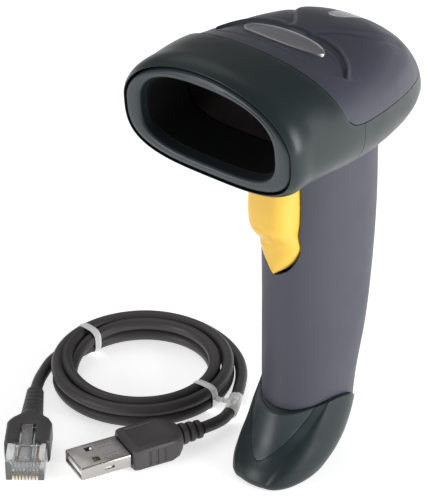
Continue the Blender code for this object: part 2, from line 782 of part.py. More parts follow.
def trigger_set(frame):
    """Trigger, its pivot pin, bracket, spring, switch and board."""
    y, z = TRIGGER_PIVOT
    pivot = frame_empty("trigger_pivot", 0, y, z)
    pivot.parent = frame
    trigger(frame, pivot)
    keep(rod("trigger_pin", (-8.5, y, z), (8.5, y, z), 1.0, 16), frame, "steel")
    bracket = box("trigger_bracket", (-8.6, -7.3, 78.0), (8.6, 3.0, 105.6))
    keep(bracket, frame, "black")
    cut(bracket, keep(box("bracket_inside", (-7.4, -20.0, 70.0), (7.4, 1.4, 120.0)), frame))
    cut(bracket, keep(box("bracket_front", (-12.0, -20.0, 70.0), (12.0, -0.4, 96.0)), frame))
    cut(bracket, keep(rod("bracket_bore", (-12, y, z), (12, y, z), 1.05, 16), frame))
    board = box("trigger_board", (-7.0, -0.6, 79.0), (7.0, 1.0, 99.5))
    keep(board, frame, "board")
    switch_z = 82.4
    switch = box("trigger_switch", (-3.0, -5.8, switch_z - 3.0), (3.0, -0.9, switch_z + 3.0), 0.2)
    keep(switch, frame, "steel")
    keep(rod("switch_plunger", (0, PLUNGER_FRONT, switch_z), (0, -6.4, switch_z), 1.6, 16), frame, "chip")
    coil = []
    turns = 5
    steps = 10
    for i in range(turns * steps + 1):
        angle = 2 * math.pi * i / steps
        along = SPRING_START + (SPRING_END - SPRING_START) * i / (turns * steps)
        coil.append((2.1 * math.cos(angle), along, 88.8 + 2.1 * math.sin(angle)))
    keep(tube("trigger_spring", coil, 0.25, 1), frame, "steel")


# ---------------------------------------------------------------- scan engine and electronics

def scan_engine(frame):
    """Chassis, laser, moving mirror with its magnet and coil, collector, detector and exit optics."""
    base = box("engine_chassis", (-17.0, -25.5, 115.5), (17.0, 17.0, 131.0), 0.4)
    keep(base, frame, "chip")
    cut(base, keep(box("chassis_inside", (-15.4, -30.0, 117.2), (15.4, 15.4, 140.0)), frame))
    for side in (-1, 1):
        cut(base, keep(rod("chassis_hole_" + ("l", "r")[side > 0], (side * 12.0, 12.6, 110.0),
                           (side * 12.0, 12.6, 120.0), 1.35, 12), frame))
        keep(turned("engine_screw_" + ("l", "r")[side > 0],
                    ((1.7, 0.0), (1.7, 2.3), (0.0, 2.3), (0.0, 1.0), (-3.6, 1.0), (-4.2, 0.0)),
                    (side * 12.0, 12.6, 117.5), (0, 0, 1), 16), frame, "steel")
    keep(rod("laser_barrel", (11.0, -7.6, 121.6), (11.0, 5.2, 121.6), 3.0, 20), frame, "brass")
    keep(rod("laser_diode", (11.0, 5.5, 121.6), (11.0, 7.6, 121.6), 2.8, 20), frame, "gold")
    keep(rod("laser_lens", (11.0, -8.8, 121.6), (11.0, -7.9, 121.6), 2.2, 20), frame, "clear")

    collector = plate("collector_mirror", arc_band(24.0, 1.4, 34.0), 121.0, 134.0, "XY")
    collector.location.y = 13.0 * MM
    keep(collector, frame, "mirror")

    board = box("detector_board", (-14.6, -24.6, 118.0), (-13.2, -16.4, 130.5))
    keep(board, frame, "board")
    keep(box("photodiode", (-12.9, -23.0, 122.0), (-11.3, -18.0, 127.4), 0.15), frame, "glass")

    pivot = frame_empty("mirror_pivot", 0.0, MIRROR_Y, sum(MIRROR_Z) / 2)
    pivot.parent = frame
    keep(box("scan_mirror", (-7.5, -1.6, -5.6), (7.5, -0.6, 5.6), 0.1), pivot, "mirror")
    keep(box("mirror_carrier", (-5.0, -0.3, -4.6), (5.0, 1.5, 4.6), 0.2), pivot, "black")
    keep(box("mirror_magnet", (-2.4, 1.8, -2.4), (2.4, 4.0, 2.4), 0.15), pivot, "steel")
    keep(box("mirror_flexure", (-0.25, MIRROR_Y + 0.3, 117.5), (0.25, MIRROR_Y + 1.2, 122.6)),
         frame, "clear")
    coil = turned("drive_coil", ((2.6, 2.2), (2.6, 4.6), (-2.6, 4.6), (-2.6, 2.2)),
                  (0.0, MIRROR_Y + 9.9, sum(MIRROR_Z) / 2), (0, 1, 0), 20, True)
    keep(coil, frame, "copper")


def arc_band(radius, thickness, half_angle, steps=8):
    """A curved band in plan: the shape of a light collecting mirror."""
    outer = []
    inner = []
    for i in range(steps + 1):
        angle = math.radians(-90.0 - half_angle + 2 * half_angle * i / steps)
        rim = radius + thickness
        outer.append((rim * math.cos(angle), -radius - rim * math.sin(angle)))
        inner.append((radius * math.cos(angle), -radius - radius * math.sin(angle)))
    return outer + inner[::-1]


def electronics(frame):
    """Main board above the scan engine with its chips, beeper, indicator lamps and light pipe."""
    main = box("main_board", (-13.0, -22.0, 136.5), (13.0, 14.0, 138.1))
    keep(main, frame, "board")
    keep(box("decoder_chip", (-12.0, -12.0, 138.4), (-2.0, -2.0, 139.8), 0.15), frame, "chip")
    keep(box("interface_chip", (3.0, -12.0, 138.4), (10.0, -5.0, 139.6), 0.15), frame, "chip")
    keep(rod("beeper", (7.0, 2.0, 132.4), (7.0, 2.0, 136.2), 5.2, 24), frame, "chip")
    for side in (-1, 1):
        keep(box("lamp_" + ("red", "green")[side > 0], (side * 1.5 - 0.8, 11.6, 138.4),
                 (side * 1.5 + 0.8, 13.2, 139.3)), frame, "clear")
    keep(box("light_pipe", (-2.4, 11.2, 139.6), (2.4, 13.6, 140.6), 0.1), frame, "clear")
    ribbon = plate("board_ribbon", ((18.3, 100.0), (18.9, 100.0), (18.9, 136.1), (9.0, 136.1), (9.0, 135.5),
                                    (18.3, 135.5)), -4.0, 4.0, "YZ")
    keep(ribbon, frame, "lens")


def cable_socket(frame):
    """Modular jack in the foot with its contacts and a small board above it."""
    jack = box("cable_socket", (-8.2, -7.4, 8.4), (8.2, 5.4, 26.0))
    keep(jack, frame, "chip")
    cut(jack, keep(box("jack_mouth", (-6.0, -5.0, 4.0), (6.0, 1.9, 23.0)), frame))
    cut(jack, keep(box("jack_latch_way", (-3.2, 1.6, 4.0), (3.2, 3.8, 18.0)), frame))
    keep(comb("socket_contacts", (-4.6, -4.7, 12.0), (4.6, -4.1, 22.6), 8, 2.0, 0), frame, "gold")
    keep(box("socket_board", (-8.2, -9.4, 8.6), (8.2, -7.8, 23.0)), frame, "board")


# ---------------------------------------------------------------- cable

def coil_ring(frame):
    """Outer shape of the coiled cable."""
    rounding = 2.0
    half = (COIL_OUTER - COIL_INNER) / 2
    middle = (COIL_OUTER + COIL_INNER) / 2
    profile = []
    for corner_x, corner_z, start in ((1, 1, 90), (1, -1, 0), (-1, -1, -90), (-1, 1, -180)):
        centre_x = middle + corner_x * (half - rounding)
        centre_z = (COIL_TOP - rounding) if corner_z > 0 else (COIL_BOTTOM + rounding)
        for step in range(3):
            angle = math.radians(start - 45 * step)
            profile.append((centre_z + rounding * math.sin(angle), centre_x + rounding * math.cos(angle)))
    ring = turned("cable_coil", profile, (*COIL_CENTRE, 0.0), (0, 0, 1), 36, True)
    keep(ring, frame, "cord")


def tie(name, frame, angle):
    """Paper-covered wire tie round the coil's section."""
    width = 3.0
    holder = frame_empty(name + "_place", *COIL_CENTRE, 0.0, math.radians(angle))
    holder.parent = frame
    low = (COIL_INNER - 0.95, -width / 2, 0.02)
    high = (COIL_OUTER + 0.95, width / 2, COIL_TOP + 0.93)
    band = box(name, low, high, 0.5)
    keep(band, holder, "white")
    hole = box(name + "_hole", (COIL_INNER - 0.5, -3.0, 0.52), (COIL_OUTER + 0.5, 3.0, COIL_TOP + 0.5))
    cut(band, keep(hole, holder))


def route(knots):
    """Route points: a bare number is an angle round the coil, where the cable lies beside it."""
    points = []
    for knot in knots:
        if isinstance(knot, tuple):
            points.append(knot)
            continue
        angle = math.radians(knot)
        x = COIL_CENTRE[0] + TAIL_RING * math.cos(angle)
        points.append((x, COIL_CENTRE[1] + TAIL_RING * math.sin(angle), TAIL_Z))
    return points


def tail(name, knots, frame):
    """A stretch of free cable through its route points."""
    knots = route(knots)
    length = float(np.sum(np.linalg.norm(np.diff(np.array(knots), axis=0), axis=1)))
    count = max(6, round(length / (2.4 * 2 * CORD_R)) + 1)
    keep(tube(name, [tuple(p) for p in through(knots, count)], CORD_R, 2), frame, "cord")


def label(frame):
    """White label sleeve round the cable."""
    line = through(route(USB_TAIL), 61)
    start = round(LABEL_FROM * 60)
    end = round(LABEL_TO * 60)
    part = [tuple(p) for p in line[start:end + 1:3]]
    longer = [tuple(p) for p in line[start - 6:end + 7:3]]
    sleeve = keep(tube("cable_label", part, CORD_R + 0.75, 2), frame, "white")
    cut(sleeve, keep(tube("label_bore", longer, CORD_R + 0.42, 2), frame))


def modular_plug(frame):
    """Clear modular plug with its contacts, latch and ribbed boot. +X runs from its tip to the cable."""
    holder = frame_empty("modular_plug_place", *MODULAR_TIP, PLUG_Z, MODULAR_TURN)
    holder.parent = frame
    body = box("modular_plug", (0.0, -5.85, -4.0), (20.0, 5.85, 2.6), 0.25)
    keep(body, holder, "clear")
    cut(body, keep(box("contact_slots", (-1.0, -4.4, -5.0), (6.4, 4.4, -2.4)), holder))
    keep(comb("modular_contacts", (0.5, -4.0, -3.7), (6.1, 4.0, -2.7), 8, 1.0, 1), holder, "gold")
    hinge = frame_empty("latch_hinge", 1.6, 0.0, 3.2)
    hinge.parent = holder
    lever = plate("modular_latch", ((0.0, -0.3), (14.6, 1.5), (14.6, 2.3), (9.0, 1.8), (4.0, 1.2), (0.0, 0.7)),
                  -1.6, 1.6, "XZ")
    keep(lever, hinge, "clear")
    boot_shroud = box("modular_boot", (9.5, -7.0, -4.3), (25.0, 7.0, 4.2), 1.0)
    keep(boot_shroud, holder, "cord")
    cut(boot_shroud, keep(box("boot_inside", (8.0, -6.15, -6.0), (20.3, 6.15, 7.0)), holder))
    neck = turned("boot_neck", ribbed(23.0, MODULAR_LENGTH - 0.4, 3.8, 2.9, 7), (0, 0, 0), (1, 0, 0), 20)
    cut(boot_shroud, keep(neck, holder), "UNION")


def ribbed(start, end, first, last, ribs):
    """Profile of a ribbed strain relief, from its far end back to its start."""
    points = [(end, 0.0)]
    pitch = (end - start - 2.0) / ribs
    for i in range(ribs):
        share = i / ribs
        radius = last + (first - last) * share
        top = end - i * pitch
        points += [(top, radius), (top - pitch * 0.55, radius), (top - pitch * 0.6, radius - 0.5),
                   (top - pitch * 0.95, radius - 0.5)]
    points += [(start + 1.6, first), (start, first), (start, 0.0)]
    return points


def usb_plug(frame):
    """Rectangular metal plug, its overmould and its ribbed relief. +X runs from its tip to the cable."""
    holder = frame_empty("usb_plug_place", *USB_TIP, PLUG_Z, USB_TURN)
    holder.parent = frame
    shell = box("usb_shell", (0.0, -6.0, -2.25), (16.7, 6.0, 2.25), 0.3)
    keep(shell, holder, "steel")
    cut(shell, keep(box("shell_inside", (-1.0, -5.65, -1.9), (15.5, 5.65, 1.9)), holder))
    for side in (-1, 1):
        window = box("shell_window_" + ("l", "r")[side > 0], (5.2, side * 2.9 - 1.1, 0.0),
                     (7.4, side * 2.9 + 1.1, 5.0))
        cut(shell, keep(window, holder))
    keep(box("usb_tongue", (0.8, -5.3, -1.6), (15.2, 5.3, -0.1)), holder, "white")
    keep(comb("usb_contacts", (1.4, -4.6, 0.22), (12.0, 4.6, 0.42), 4, 2.0, 1), holder, "gold")
    grip = box("usb_overmold", (17.0, -7.4, -3.9), (35.0, 7.4, 3.9), 1.6)
    grip.modifiers["edge"].segments = 2
    keep(grip, holder, "cord")
    rings = ribbed(35.3, USB_LENGTH - 0.4, 3.7, 3.0, 3)
    relief = turned("usb_strain_relief", rings, (0, 0, 0), (1, 0, 0), 20)
    keep(relief, holder, "cord")


def build():
    """The whole scanner and its cable."""
    scanner = frame_empty("scanner", 0.0, BODY_Y, 0.0)
    cable = frame_empty("cable", 0.0, CABLE_Y, 0.0)
    head_shells(scanner)
    badge(scanner)
    indicator_lens(scanner)
    bezel(scanner)
    gasket(scanner)
    hood(scanner)
    scan_window(scanner)
    handle(scanner)
    foot(scanner)
    foot_inlay(scanner)
    trigger_set(scanner)
    scan_engine(scanner)
    electronics(scanner)
    cable_socket(scanner)
    coil_ring(cable)
    tie("cable_tie_back", cable, 174.0)
    tie("cable_tie_front", cable, 1.0)
    tail("cable_tail_modular", MODULAR_TAIL, cable)
    tail("cable_tail_usb", USB_TAIL, cable)
    label(cable)
    modular_plug(cable)
    usb_plug(cable)


build()
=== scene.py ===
"""Looks of the handheld barcode scanner and its cable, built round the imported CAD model.

Sizes are in millimetres, as in the CAD, and become metres where a mesh is made.
"""

import json
import math

import bmesh
import bpy
import numpy as np
from mathutils import Matrix, Vector


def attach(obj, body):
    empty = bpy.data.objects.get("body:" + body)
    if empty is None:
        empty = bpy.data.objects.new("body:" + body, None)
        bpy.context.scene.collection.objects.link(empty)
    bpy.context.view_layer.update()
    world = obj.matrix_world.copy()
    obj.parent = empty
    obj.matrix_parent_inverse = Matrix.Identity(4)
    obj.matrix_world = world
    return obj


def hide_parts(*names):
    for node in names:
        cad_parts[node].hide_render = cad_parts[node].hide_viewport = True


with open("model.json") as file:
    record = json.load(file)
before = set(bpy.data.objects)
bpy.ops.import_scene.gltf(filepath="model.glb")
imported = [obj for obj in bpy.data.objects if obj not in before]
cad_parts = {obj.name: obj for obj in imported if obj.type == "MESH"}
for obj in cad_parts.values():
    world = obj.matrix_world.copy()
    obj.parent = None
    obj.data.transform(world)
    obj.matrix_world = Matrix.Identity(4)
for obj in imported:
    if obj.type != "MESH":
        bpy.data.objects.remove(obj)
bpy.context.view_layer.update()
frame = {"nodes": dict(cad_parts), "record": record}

MM = 0.001
GAP = 0.3
BODY_Y = 2.9
CABLE_Y = 0.6

# Head: Y, half width, top, height of the widest line, bottom, fullness above, fullness below
HEAD = (
    (-45.4, 31.0, 150.0, 132.0, 115.2, 1.9, 3.3),
    (-44.0, 31.5, 150.7, 132.0, 114.6, 1.95, 3.3),
    (-36.0, 31.6, 151.2, 131.2, 113.2, 2.15, 3.0),
    (-27.0, 31.5, 150.5, 129.8, 111.3, 2.4, 2.7),
    (-17.0, 30.8, 148.4, 127.6, 109.0, 2.6, 2.5),
    (-8.0, 29.6, 146.7, 125.3, 107.0, 2.8, 2.3),
    (2.0, 27.8, 145.6, 123.0, 105.3, 2.8, 2.15),
    (11.0, 25.6, 143.9, 121.1, 104.5, 2.7, 2.05),
    (20.0, 22.8, 140.6, 119.3, 104.6, 2.5, 2.0),
    (28.0, 19.3, 135.4, 117.8, 106.0, 2.3, 2.0),
    (34.0, 15.4, 130.0, 116.8, 108.4, 2.1, 2.0),
    (38.0, 11.0, 124.8, 116.2, 111.2, 2.0, 2.0),
    (40.2, 6.4, 120.4, 116.0, 113.6, 2.0, 2.0),
    (41.2, 1.5, 117.0, 116.0, 115.2, 2.0, 2.0),
)
HEAD_AROUND = 144
HEAD_ALONG = 96
SHELL_WALL = 1.6
NOSE_LEAN = 0.06
LEAN_END_Y = -20.0
BEZEL_OUTSIDE = (29.6, 148.6, 132.0, 116.6, 1.9, 3.3)
BEZEL_OPENING = (24.4, 145.0, 131.5, 119.6, 2.5, 3.3)
BEZEL_FACE_Y = -46.0
BEZEL_BACK_Y = -42.6
HOOD_FRONT = (23.6, 144.2, 131.5, 120.4, 2.5, 3.3)
HOOD_BACK = (20.6, 141.6, 131.5, 122.8, 2.6, 3.0)
HOOD_BACK_Y = -29.0
COVER_LINE = (
    (-28.3, 153.0), (-27.2, 150.5), (-25.5, 146.5), (-23.4, 141.6), (-21.0, 135.6), (-18.6, 132.3),
    (-15.2, 130.2), (-9.0, 128.6), (0.0, 127.2), (12.0, 125.3), (24.0, 123.4), (34.0, 121.9), (46.0, 120.2),
)
SHELL_SEAM_Y = -11.4
SEAM_GAP = 0.2
RIM_RADIUS = 0.9
RIM_STEPS = 5

# Handle: Z, half width, half depth, middle
HANDLE = (
    (12.0, 12.0, 14.7, -0.4),
    (25.0, 12.5, 15.7, 0.5),
    (42.0, 12.9, 18.3, 3.0),
    (60.0, 13.3, 19.7, 4.6),
    (80.0, 13.7, 20.6, 5.5),
    (100.0, 14.1, 20.7, 5.6),
    (116.0, 14.3, 20.8, 5.6),
)
HANDLE_TOP = 111.8
HANDLE_FULLNESS = 0.93
FOOT_LINE = (
    (-22.0, 20.0), (-16.0, 21.8), (-10.0, 23.4), (-3.0, 24.3), (4.0, 22.2), (10.0, 17.8), (20.0, 12.5),
)

# Foot: Z, front, ridge x, ridge y, half width, y of the widest point, back
FOOT = (
    (0.0, -27.0, 4.2, -26.4, 11.0, -15.0, -3.0),
    (0.9, -27.8, 4.6, -27.1, 12.1, -14.0, 0.5),
    (3.5, -27.3, 5.7, -26.1, 13.4, -12.0, 5.0),
    (8.0, -24.2, 7.4, -22.2, 14.3, -7.5, 9.0),
    (13.0, -21.0, 9.4, -16.4, 14.5, -4.0, 12.2),
    (18.0, -18.9, 11.2, -11.8, 14.3, -1.5, 14.6),
    (23.0, -17.4, 12.4, -7.2, 13.8, 0.5, 16.0),
    (28.0, -16.6, 12.8, -3.5, 13.3, 1.5, 16.8),
)

# Trigger: Z, half width, front, fullness
TRIGGER = (
    (69.6, 0.8, -16.2, 2.0),
    (70.4, 2.2, -16.6, 2.0),
    (72.6, 4.4, -17.0, 2.1),
    (76.0, 6.2, -17.2, 2.3),
    (79.2, 7.0, -17.4, 2.5),
    (81.4, 6.7, -18.2, 2.6),
    (83.4, 6.5, -19.9, 2.7),
    (86.2, 6.8, -21.6, 2.8),
    (91.0, 7.0, -22.2, 2.9),
    (98.0, 7.0, -21.8, 2.9),
    (104.0, 7.0, -20.9, 2.8),
    (108.0, 6.9, -19.8, 2.7),
    (111.6, 6.6, -17.6, 2.5),
)
TRIGGER_REACH = 6.4
TRIGGER_PIN = (-5.6, 101.6)

# Cable
CORD_R = 1.9
COIL_CENTRE = (-62.5, -1.9)
COIL_OUTER = 28.8
COIL_INNER = 20.6
COIL_BOTTOM = 0.95
COIL_TOP = 8.5
TAIL_Z = 2.9
TAIL_RING = COIL_OUTER + GAP + CORD_R
MODULAR_TIP = (-54.6, -66.0)
MODULAR_TURN = math.radians(127.4)
MODULAR_LENGTH = 42.0
USB_TIP = (-44.5, -55.3)
USB_TURN = math.radians(66.0)
USB_LENGTH = 43.0
PLUG_Z = 4.4


# ---------------------------------------------------------------- curves and sections

def through(knots, count):
    """Points of a smooth curve through knots, evenly spread over its length."""
    knots = np.array(knots, float)
    padded = np.vstack([2 * knots[0] - knots[1], knots, 2 * knots[-1] - knots[-2]])
    fine = []
    for i in range(1, len(padded) - 2):
        p0, p1, p2, p3 = padded[i - 1:i + 3]
        for t in np.linspace(0.0, 1.0, 24, endpoint=False):
            fine.append(0.5 * (2 * p1 + (p2 - p0) * t + (2 * p0 - 5 * p1 + 4 * p2 - p3) * t * t
                               + (3 * p1 - p0 - 3 * p2 + p3) * t ** 3))
    fine.append(knots[-1])
    fine = np.array(fine)
    reach = np.concatenate([[0.0], np.cumsum(np.linalg.norm(np.diff(fine, axis=0), axis=1))])
    wanted = np.linspace(0.0, reach[-1], count)
    return np.stack([np.interp(wanted, reach, fine[:, k]) for k in range(fine.shape[1])], axis=1)


def smooth_rows(table, places):
    """Rows of a table of stations read at places along its first column, through a smooth curve."""
    rows = np.array(table, float)
    at = rows[:, 0]
    slopes = np.gradient(rows[:, 1:], at, axis=0)
    result = []
    for place in places:
        i = int(np.clip(np.searchsorted(at, place) - 1, 0, len(at) - 2))
        span = at[i + 1] - at[i]
        t = (place - at[i]) / span
        a, b = rows[i, 1:], rows[i + 1, 1:]
        result.append((2 * t ** 3 - 3 * t ** 2 + 1) * a + (t ** 3 - 2 * t ** 2 + t) * span * slopes[i]
                      + (3 * t ** 2 - 2 * t ** 3) * b + (t ** 3 - t ** 2) * span * slopes[i + 1])
    return np.array(result)


def power(value, exponent):
    """A power that keeps the sign."""
    return math.copysign(abs(value) ** exponent, value)


def angles(count):
    """Angles evenly spread round a circle."""
    return [2 * math.pi * i / count for i in range(count)]


def outline(shape, count, grow=0.0):
    """(X, Z) points of a section that is fuller or rounder above and below its widest line."""
    half, top, wide, bottom, above, below = shape
    points = []
    for angle in angles(count):
        full = above if math.sin(angle) >= 0 else below
        rise = (top - wide if math.sin(angle) >= 0 else wide - bottom) + grow
        x = (half + grow) * power(math.cos(angle), 2 / full)
        points.append((x, wide + rise * power(math.sin(angle), 2 / full)))
    return even(points, count)


def even(points, count):
    """The same closed outline with its points spread evenly, starting at the same place."""
    loop = np.array(points + points[:1], float)
    reach = np.concatenate([[0.0], np.cumsum(np.linalg.norm(np.diff(loop, axis=0), axis=1))])
    wanted = np.linspace(0.0, reach[-1], count, endpoint=False)
    return [tuple(p) for p in np.stack([np.interp(wanted, reach, loop[:, k]) for k in range(2)], axis=1)]


def lean(y, z):
    """How far forward the nose leans at a height."""
    share = max(0.0, min(1.0, (LEAN_END_Y - y) / (LEAN_END_Y - BEZEL_FACE_Y)))
    return y - NOSE_LEAN * share * (z - BEZEL_OUTSIDE[2])


def section(shape, y, grow=0.0):
    """A leaning ring of points across the head."""
    return [(x, lean(y, z), z) for x, z in outline(shape, HEAD_AROUND, grow)]


# ---------------------------------------------------------------- mesh helpers

def loft_mesh(name, rings, closed=False):
    """A mesh through rings of the same number of points: capped at its ends, or closed on itself."""
    count = len(rings[0])
    mesh = bpy.data.meshes.new(name)
    points = [tuple(Vector(p) * MM) for ring in rings for p in ring]
    faces = []
    spans = len(rings) if closed else len(rings) - 1
    for i in range(spans):
        a = i * count
        b = ((i + 1) % len(rings)) * count
        for j in range(count):
            k = (j + 1) % count
            faces.append((a + j, a + k, b + k, b + j))
    if not closed:
        faces.append(tuple(range(count)))
        last = (len(rings) - 1) * count
        faces.append(tuple(last + j for j in range(count)))
    mesh.from_pydata(points, [], faces)
    work = bmesh.new()
    work.from_mesh(mesh)
    bmesh.ops.recalc_face_normals(work, faces=work.faces)
    work.to_mesh(mesh)
    work.free()
    return mesh


def add(name, mesh, place=None):
    """An object of a mesh, moved by a placing matrix in metres."""
    if place is not None:
        mesh.transform(place)
    obj = bpy.data.objects.new(name, mesh)
    bpy.context.scene.collection.objects.link(obj)
    return obj


def moved(x, y, z):
    """A placing matrix for a move in millimetres."""
    return Matrix.Translation((x * MM, y * MM, z * MM))


SCANNER = moved(0.0, BODY_Y, 0.0)
CABLE = moved(0.0, CABLE_Y, 0.0)


def shade(obj, angle=30.0):
    """Smooth shading that keeps edges sharper than an angle."""
    obj.data.shade_smooth()
    obj.data.set_sharp_from_angle(angle=math.radians(angle))
    return obj


def applied(obj):
    """Replaces an object's modifiers with their result."""
    graph = bpy.context.evaluated_depsgraph_get()
    mesh = bpy.data.meshes.new_from_object(obj.evaluated_get(graph))
    obj.modifiers.clear()
    old = obj.data
    obj.data = mesh
    mesh.name = obj.name
    if old.users == 0:
        bpy.data.meshes.remove(old)
    return obj


def cut(obj, cutter, operation="DIFFERENCE"):
    """Cuts a piece with another solid, which is then removed."""
    boolean = obj.modifiers.new("cut", "BOOLEAN")
    boolean.operation = operation
    boolean.solver = "EXACT"
    boolean.object = cutter
    applied(obj)
    bpy.data.objects.remove(cutter, do_unlink=True)
    return obj


def soften(obj, width, segments=2, angle=40.0):
    """Rounds the edges that are sharper than an angle."""
    edge = obj.modifiers.new("edge", "BEVEL")
    edge.width = width * MM
    edge.segments = segments
    edge.limit_method = "ANGLE"
    edge.angle_limit = math.radians(angle)
    return applied(obj)


def plate(name, points, low, high, plane="YZ", place=None):
    """A flat outline given thickness: in the YZ plane it runs along X, in XZ along Y and in XY along Z."""
    spans = {
        "YZ": lambda a, b, c: (c, a, b),
        "XZ": lambda a, b, c: (a, c, b),
        "XY": lambda a, b, c: (a, b, c),
    }
    put = spans[plane]
    rings = [[put(a, b, c) for a, b in points] for c in (low, high)]
    return add(name, loft_mesh(name, rings), place)


def block(name, low, high, bevel=0.0, segments=2, place=None):
    """A block between two corners, with rounded edges."""
    mesh = bpy.data.meshes.new(name)
    work = bmesh.new()
    bmesh.ops.create_cube(work, size=1.0)
    work.to_mesh(mesh)
    work.free()
    low, high = Vector(low), Vector(high)
    mesh.transform(Matrix.Translation((low + high) / 2 * MM) @ Matrix.Diagonal((*((high - low) * MM), 1.0)))
    obj = add(name, mesh)
    if bevel:
        soften(obj, bevel, segments)
    if place is not None:
        obj.data.transform(place)
    return obj


def turned(name, profile, sides, place=None):
    """A turned piece round local X: (distance along, radius) pairs."""
    rings = [[(along, radius * math.cos(angle), radius * math.sin(angle)) for angle in angles(sides)]
             for along, radius in profile]
    return add(name, loft_mesh(name, rings), place)


def joined(name, pieces, finishes):
    """One object of several, each keeping its own material."""
    for piece, finish in zip(pieces, finishes):
        piece.data.materials.append(finish)
    with bpy.context.temp_override(active_object=pieces[0], selected_editable_objects=pieces):
        bpy.ops.object.join()
    pieces[0].name = name
    return pieces[0]


def show(obj, slot, nodes, body="root", angle=30.0):
    """Gives a piece its body and, unless it has one, its slot's material, and hides the CAD nodes it stands
    for.
    """
    if not any(obj.data.materials):
        obj.data.materials.clear()
        obj.data.materials.append(FINISH[slot])
    shade(obj, angle)
    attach(obj, body)
    if nodes:
        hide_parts(*nodes)
    return obj


# ---------------------------------------------------------------- materials

def new_material(name):
    """An empty Principled material, its nodes, its links and its shader."""
    made = bpy.data.materials.new(name)
    made.use_nodes = True
    nodes = made.node_tree.nodes
    return made, nodes, made.node_tree.links, nodes["Principled BSDF"]


def noise(nodes, links, scale, detail=4.0):
    """A noise texture over the object's own coordinates."""
    where = nodes.new("ShaderNodeTexCoord")
    texture = nodes.new("ShaderNodeTexNoise")
    texture.inputs["Scale"].default_value = scale
    texture.inputs["Detail"].default_value = detail
    texture.inputs["Roughness"].default_value = 0.55
    links.new(where.outputs["Object"], texture.inputs["Vector"])
    return texture.outputs["Fac"]


def ramp(nodes, links, source, stops):
    """A colour ramp of (place, colour) stops."""
    made = nodes.new("ShaderNodeValToRGB")
    band = made.color_ramp
    while len(band.elements) < len(stops):
        band.elements.new(0.5)
    for element, (place, colour) in zip(band.elements, stops):
        element.position = place
        element.color = (*colour, 1.0)
    links.new(source, made.inputs["Fac"])
    return made.outputs["Color"]


def spread(nodes, links, source, low, high):
    """A value moved from 0..1 to low..high."""
    made = nodes.new("ShaderNodeMapRange")
    made.inputs["From Min"].default_value = 0.3
    made.inputs["From Max"].default_value = 0.7
    made.inputs["To Min"].default_value = low
    made.inputs["To Max"].default_value = high
    links.new(source, made.inputs["Value"])
    return made.outputs["Result"]


def painted_edge_highlight(nodes, links, colour, light, amount):
    """Painted highlight: lightens the colour a little along convex edges, where light catches them."""
    geometry = nodes.new("ShaderNodeNewGeometry")
    band = nodes.new("ShaderNodeMapRange")
    band.inputs["From Min"].default_value = 0.52
    band.inputs["From Max"].default_value = 0.62
    band.inputs["To Max"].default_value = amount
    links.new(geometry.outputs["Pointiness"], band.inputs["Value"])
    mix = nodes.new("ShaderNodeMix")
    mix.data_type = "RGBA"
    links.new(band.outputs["Result"], mix.inputs["Factor"])
    links.new(colour, mix.inputs[6])
    mix.inputs[7].default_value = (*light, 1.0)
    return mix.outputs[2]


def plastic(name, base, roughness, grain=900.0, depth=0.12, tone=0.08, edge_highlight=0.25, coat=0.0, specular=0.5):
    """Moulded plastic: fine grain, faint cloudiness, uneven gloss and a painted highlight along convex edges.
    """
    made, nodes, links, shader = new_material(name)
    cloud = noise(nodes, links, 38.0, 5.0)
    darker = tuple(c * (1.0 - tone) for c in base)
    lighter = tuple(min(1.0, c * (1.0 + tone) + 0.001) for c in base)
    colour = ramp(nodes, links, cloud, ((0.3, darker), (0.7, lighter)))
    # Painted highlight: a lighter copy of the base colour laid along convex edges.
    highlit = tuple(min(1.0, c * 1.7 + 0.02) for c in base)
    colour = painted_edge_highlight(nodes, links, colour, highlit, edge_highlight)
    links.new(colour, shader.inputs["Base Color"])
    uneven = noise(nodes, links, 120.0, 6.0)
    links.new(spread(nodes, links, uneven, roughness - 0.04, roughness + 0.05), shader.inputs["Roughness"])
    fine = noise(nodes, links, grain, 3.0)
    bump = nodes.new("ShaderNodeBump")
    bump.inputs["Strength"].default_value = depth
    bump.inputs["Distance"].default_value = 0.00008
    links.new(fine, bump.inputs["Height"])
    links.new(bump.outputs["Normal"], shader.inputs["Normal"])
    shader.inputs["Coat Weight"].default_value = coat
    shader.inputs["Coat Roughness"].default_value = 0.12
    shader.inputs["Specular IOR Level"].default_value = specular
    return made


def metal(name, base, roughness, stretch=(1.0, 1.0, 1.0)):
    """Metal with fine brushing along one way and faint smudges."""
    made, nodes, links, shader = new_material(name)
    where = nodes.new("ShaderNodeTexCoord")
    mapping = nodes.new("ShaderNodeMapping")
    mapping.inputs["Scale"].default_value = stretch
    texture = nodes.new("ShaderNodeTexNoise")
    texture.inputs["Scale"].default_value = 900.0
    texture.inputs["Detail"].default_value = 4.0
    links.new(where.outputs["Object"], mapping.inputs["Vector"])
    links.new(mapping.outputs["Vector"], texture.inputs["Vector"])
    smudge = noise(nodes, links, 90.0)
    darker = tuple(c * 0.85 for c in base)
    links.new(ramp(nodes, links, smudge, ((0.3, darker), (0.7, base))), shader.inputs["Base Color"])
    shader.inputs["Metallic"].default_value = 1.0
    links.new(spread(nodes, links, texture.outputs["Fac"], roughness - 0.06, roughness + 0.08),
              shader.inputs["Roughness"])
    bump = nodes.new("ShaderNodeBump")
    bump.inputs["Strength"].default_value = 0.15
    bump.inputs["Distance"].default_value = 0.00005
    links.new(texture.outputs["Fac"], bump.inputs["Height"])
    links.new(bump.outputs["Normal"], shader.inputs["Normal"])
    return made


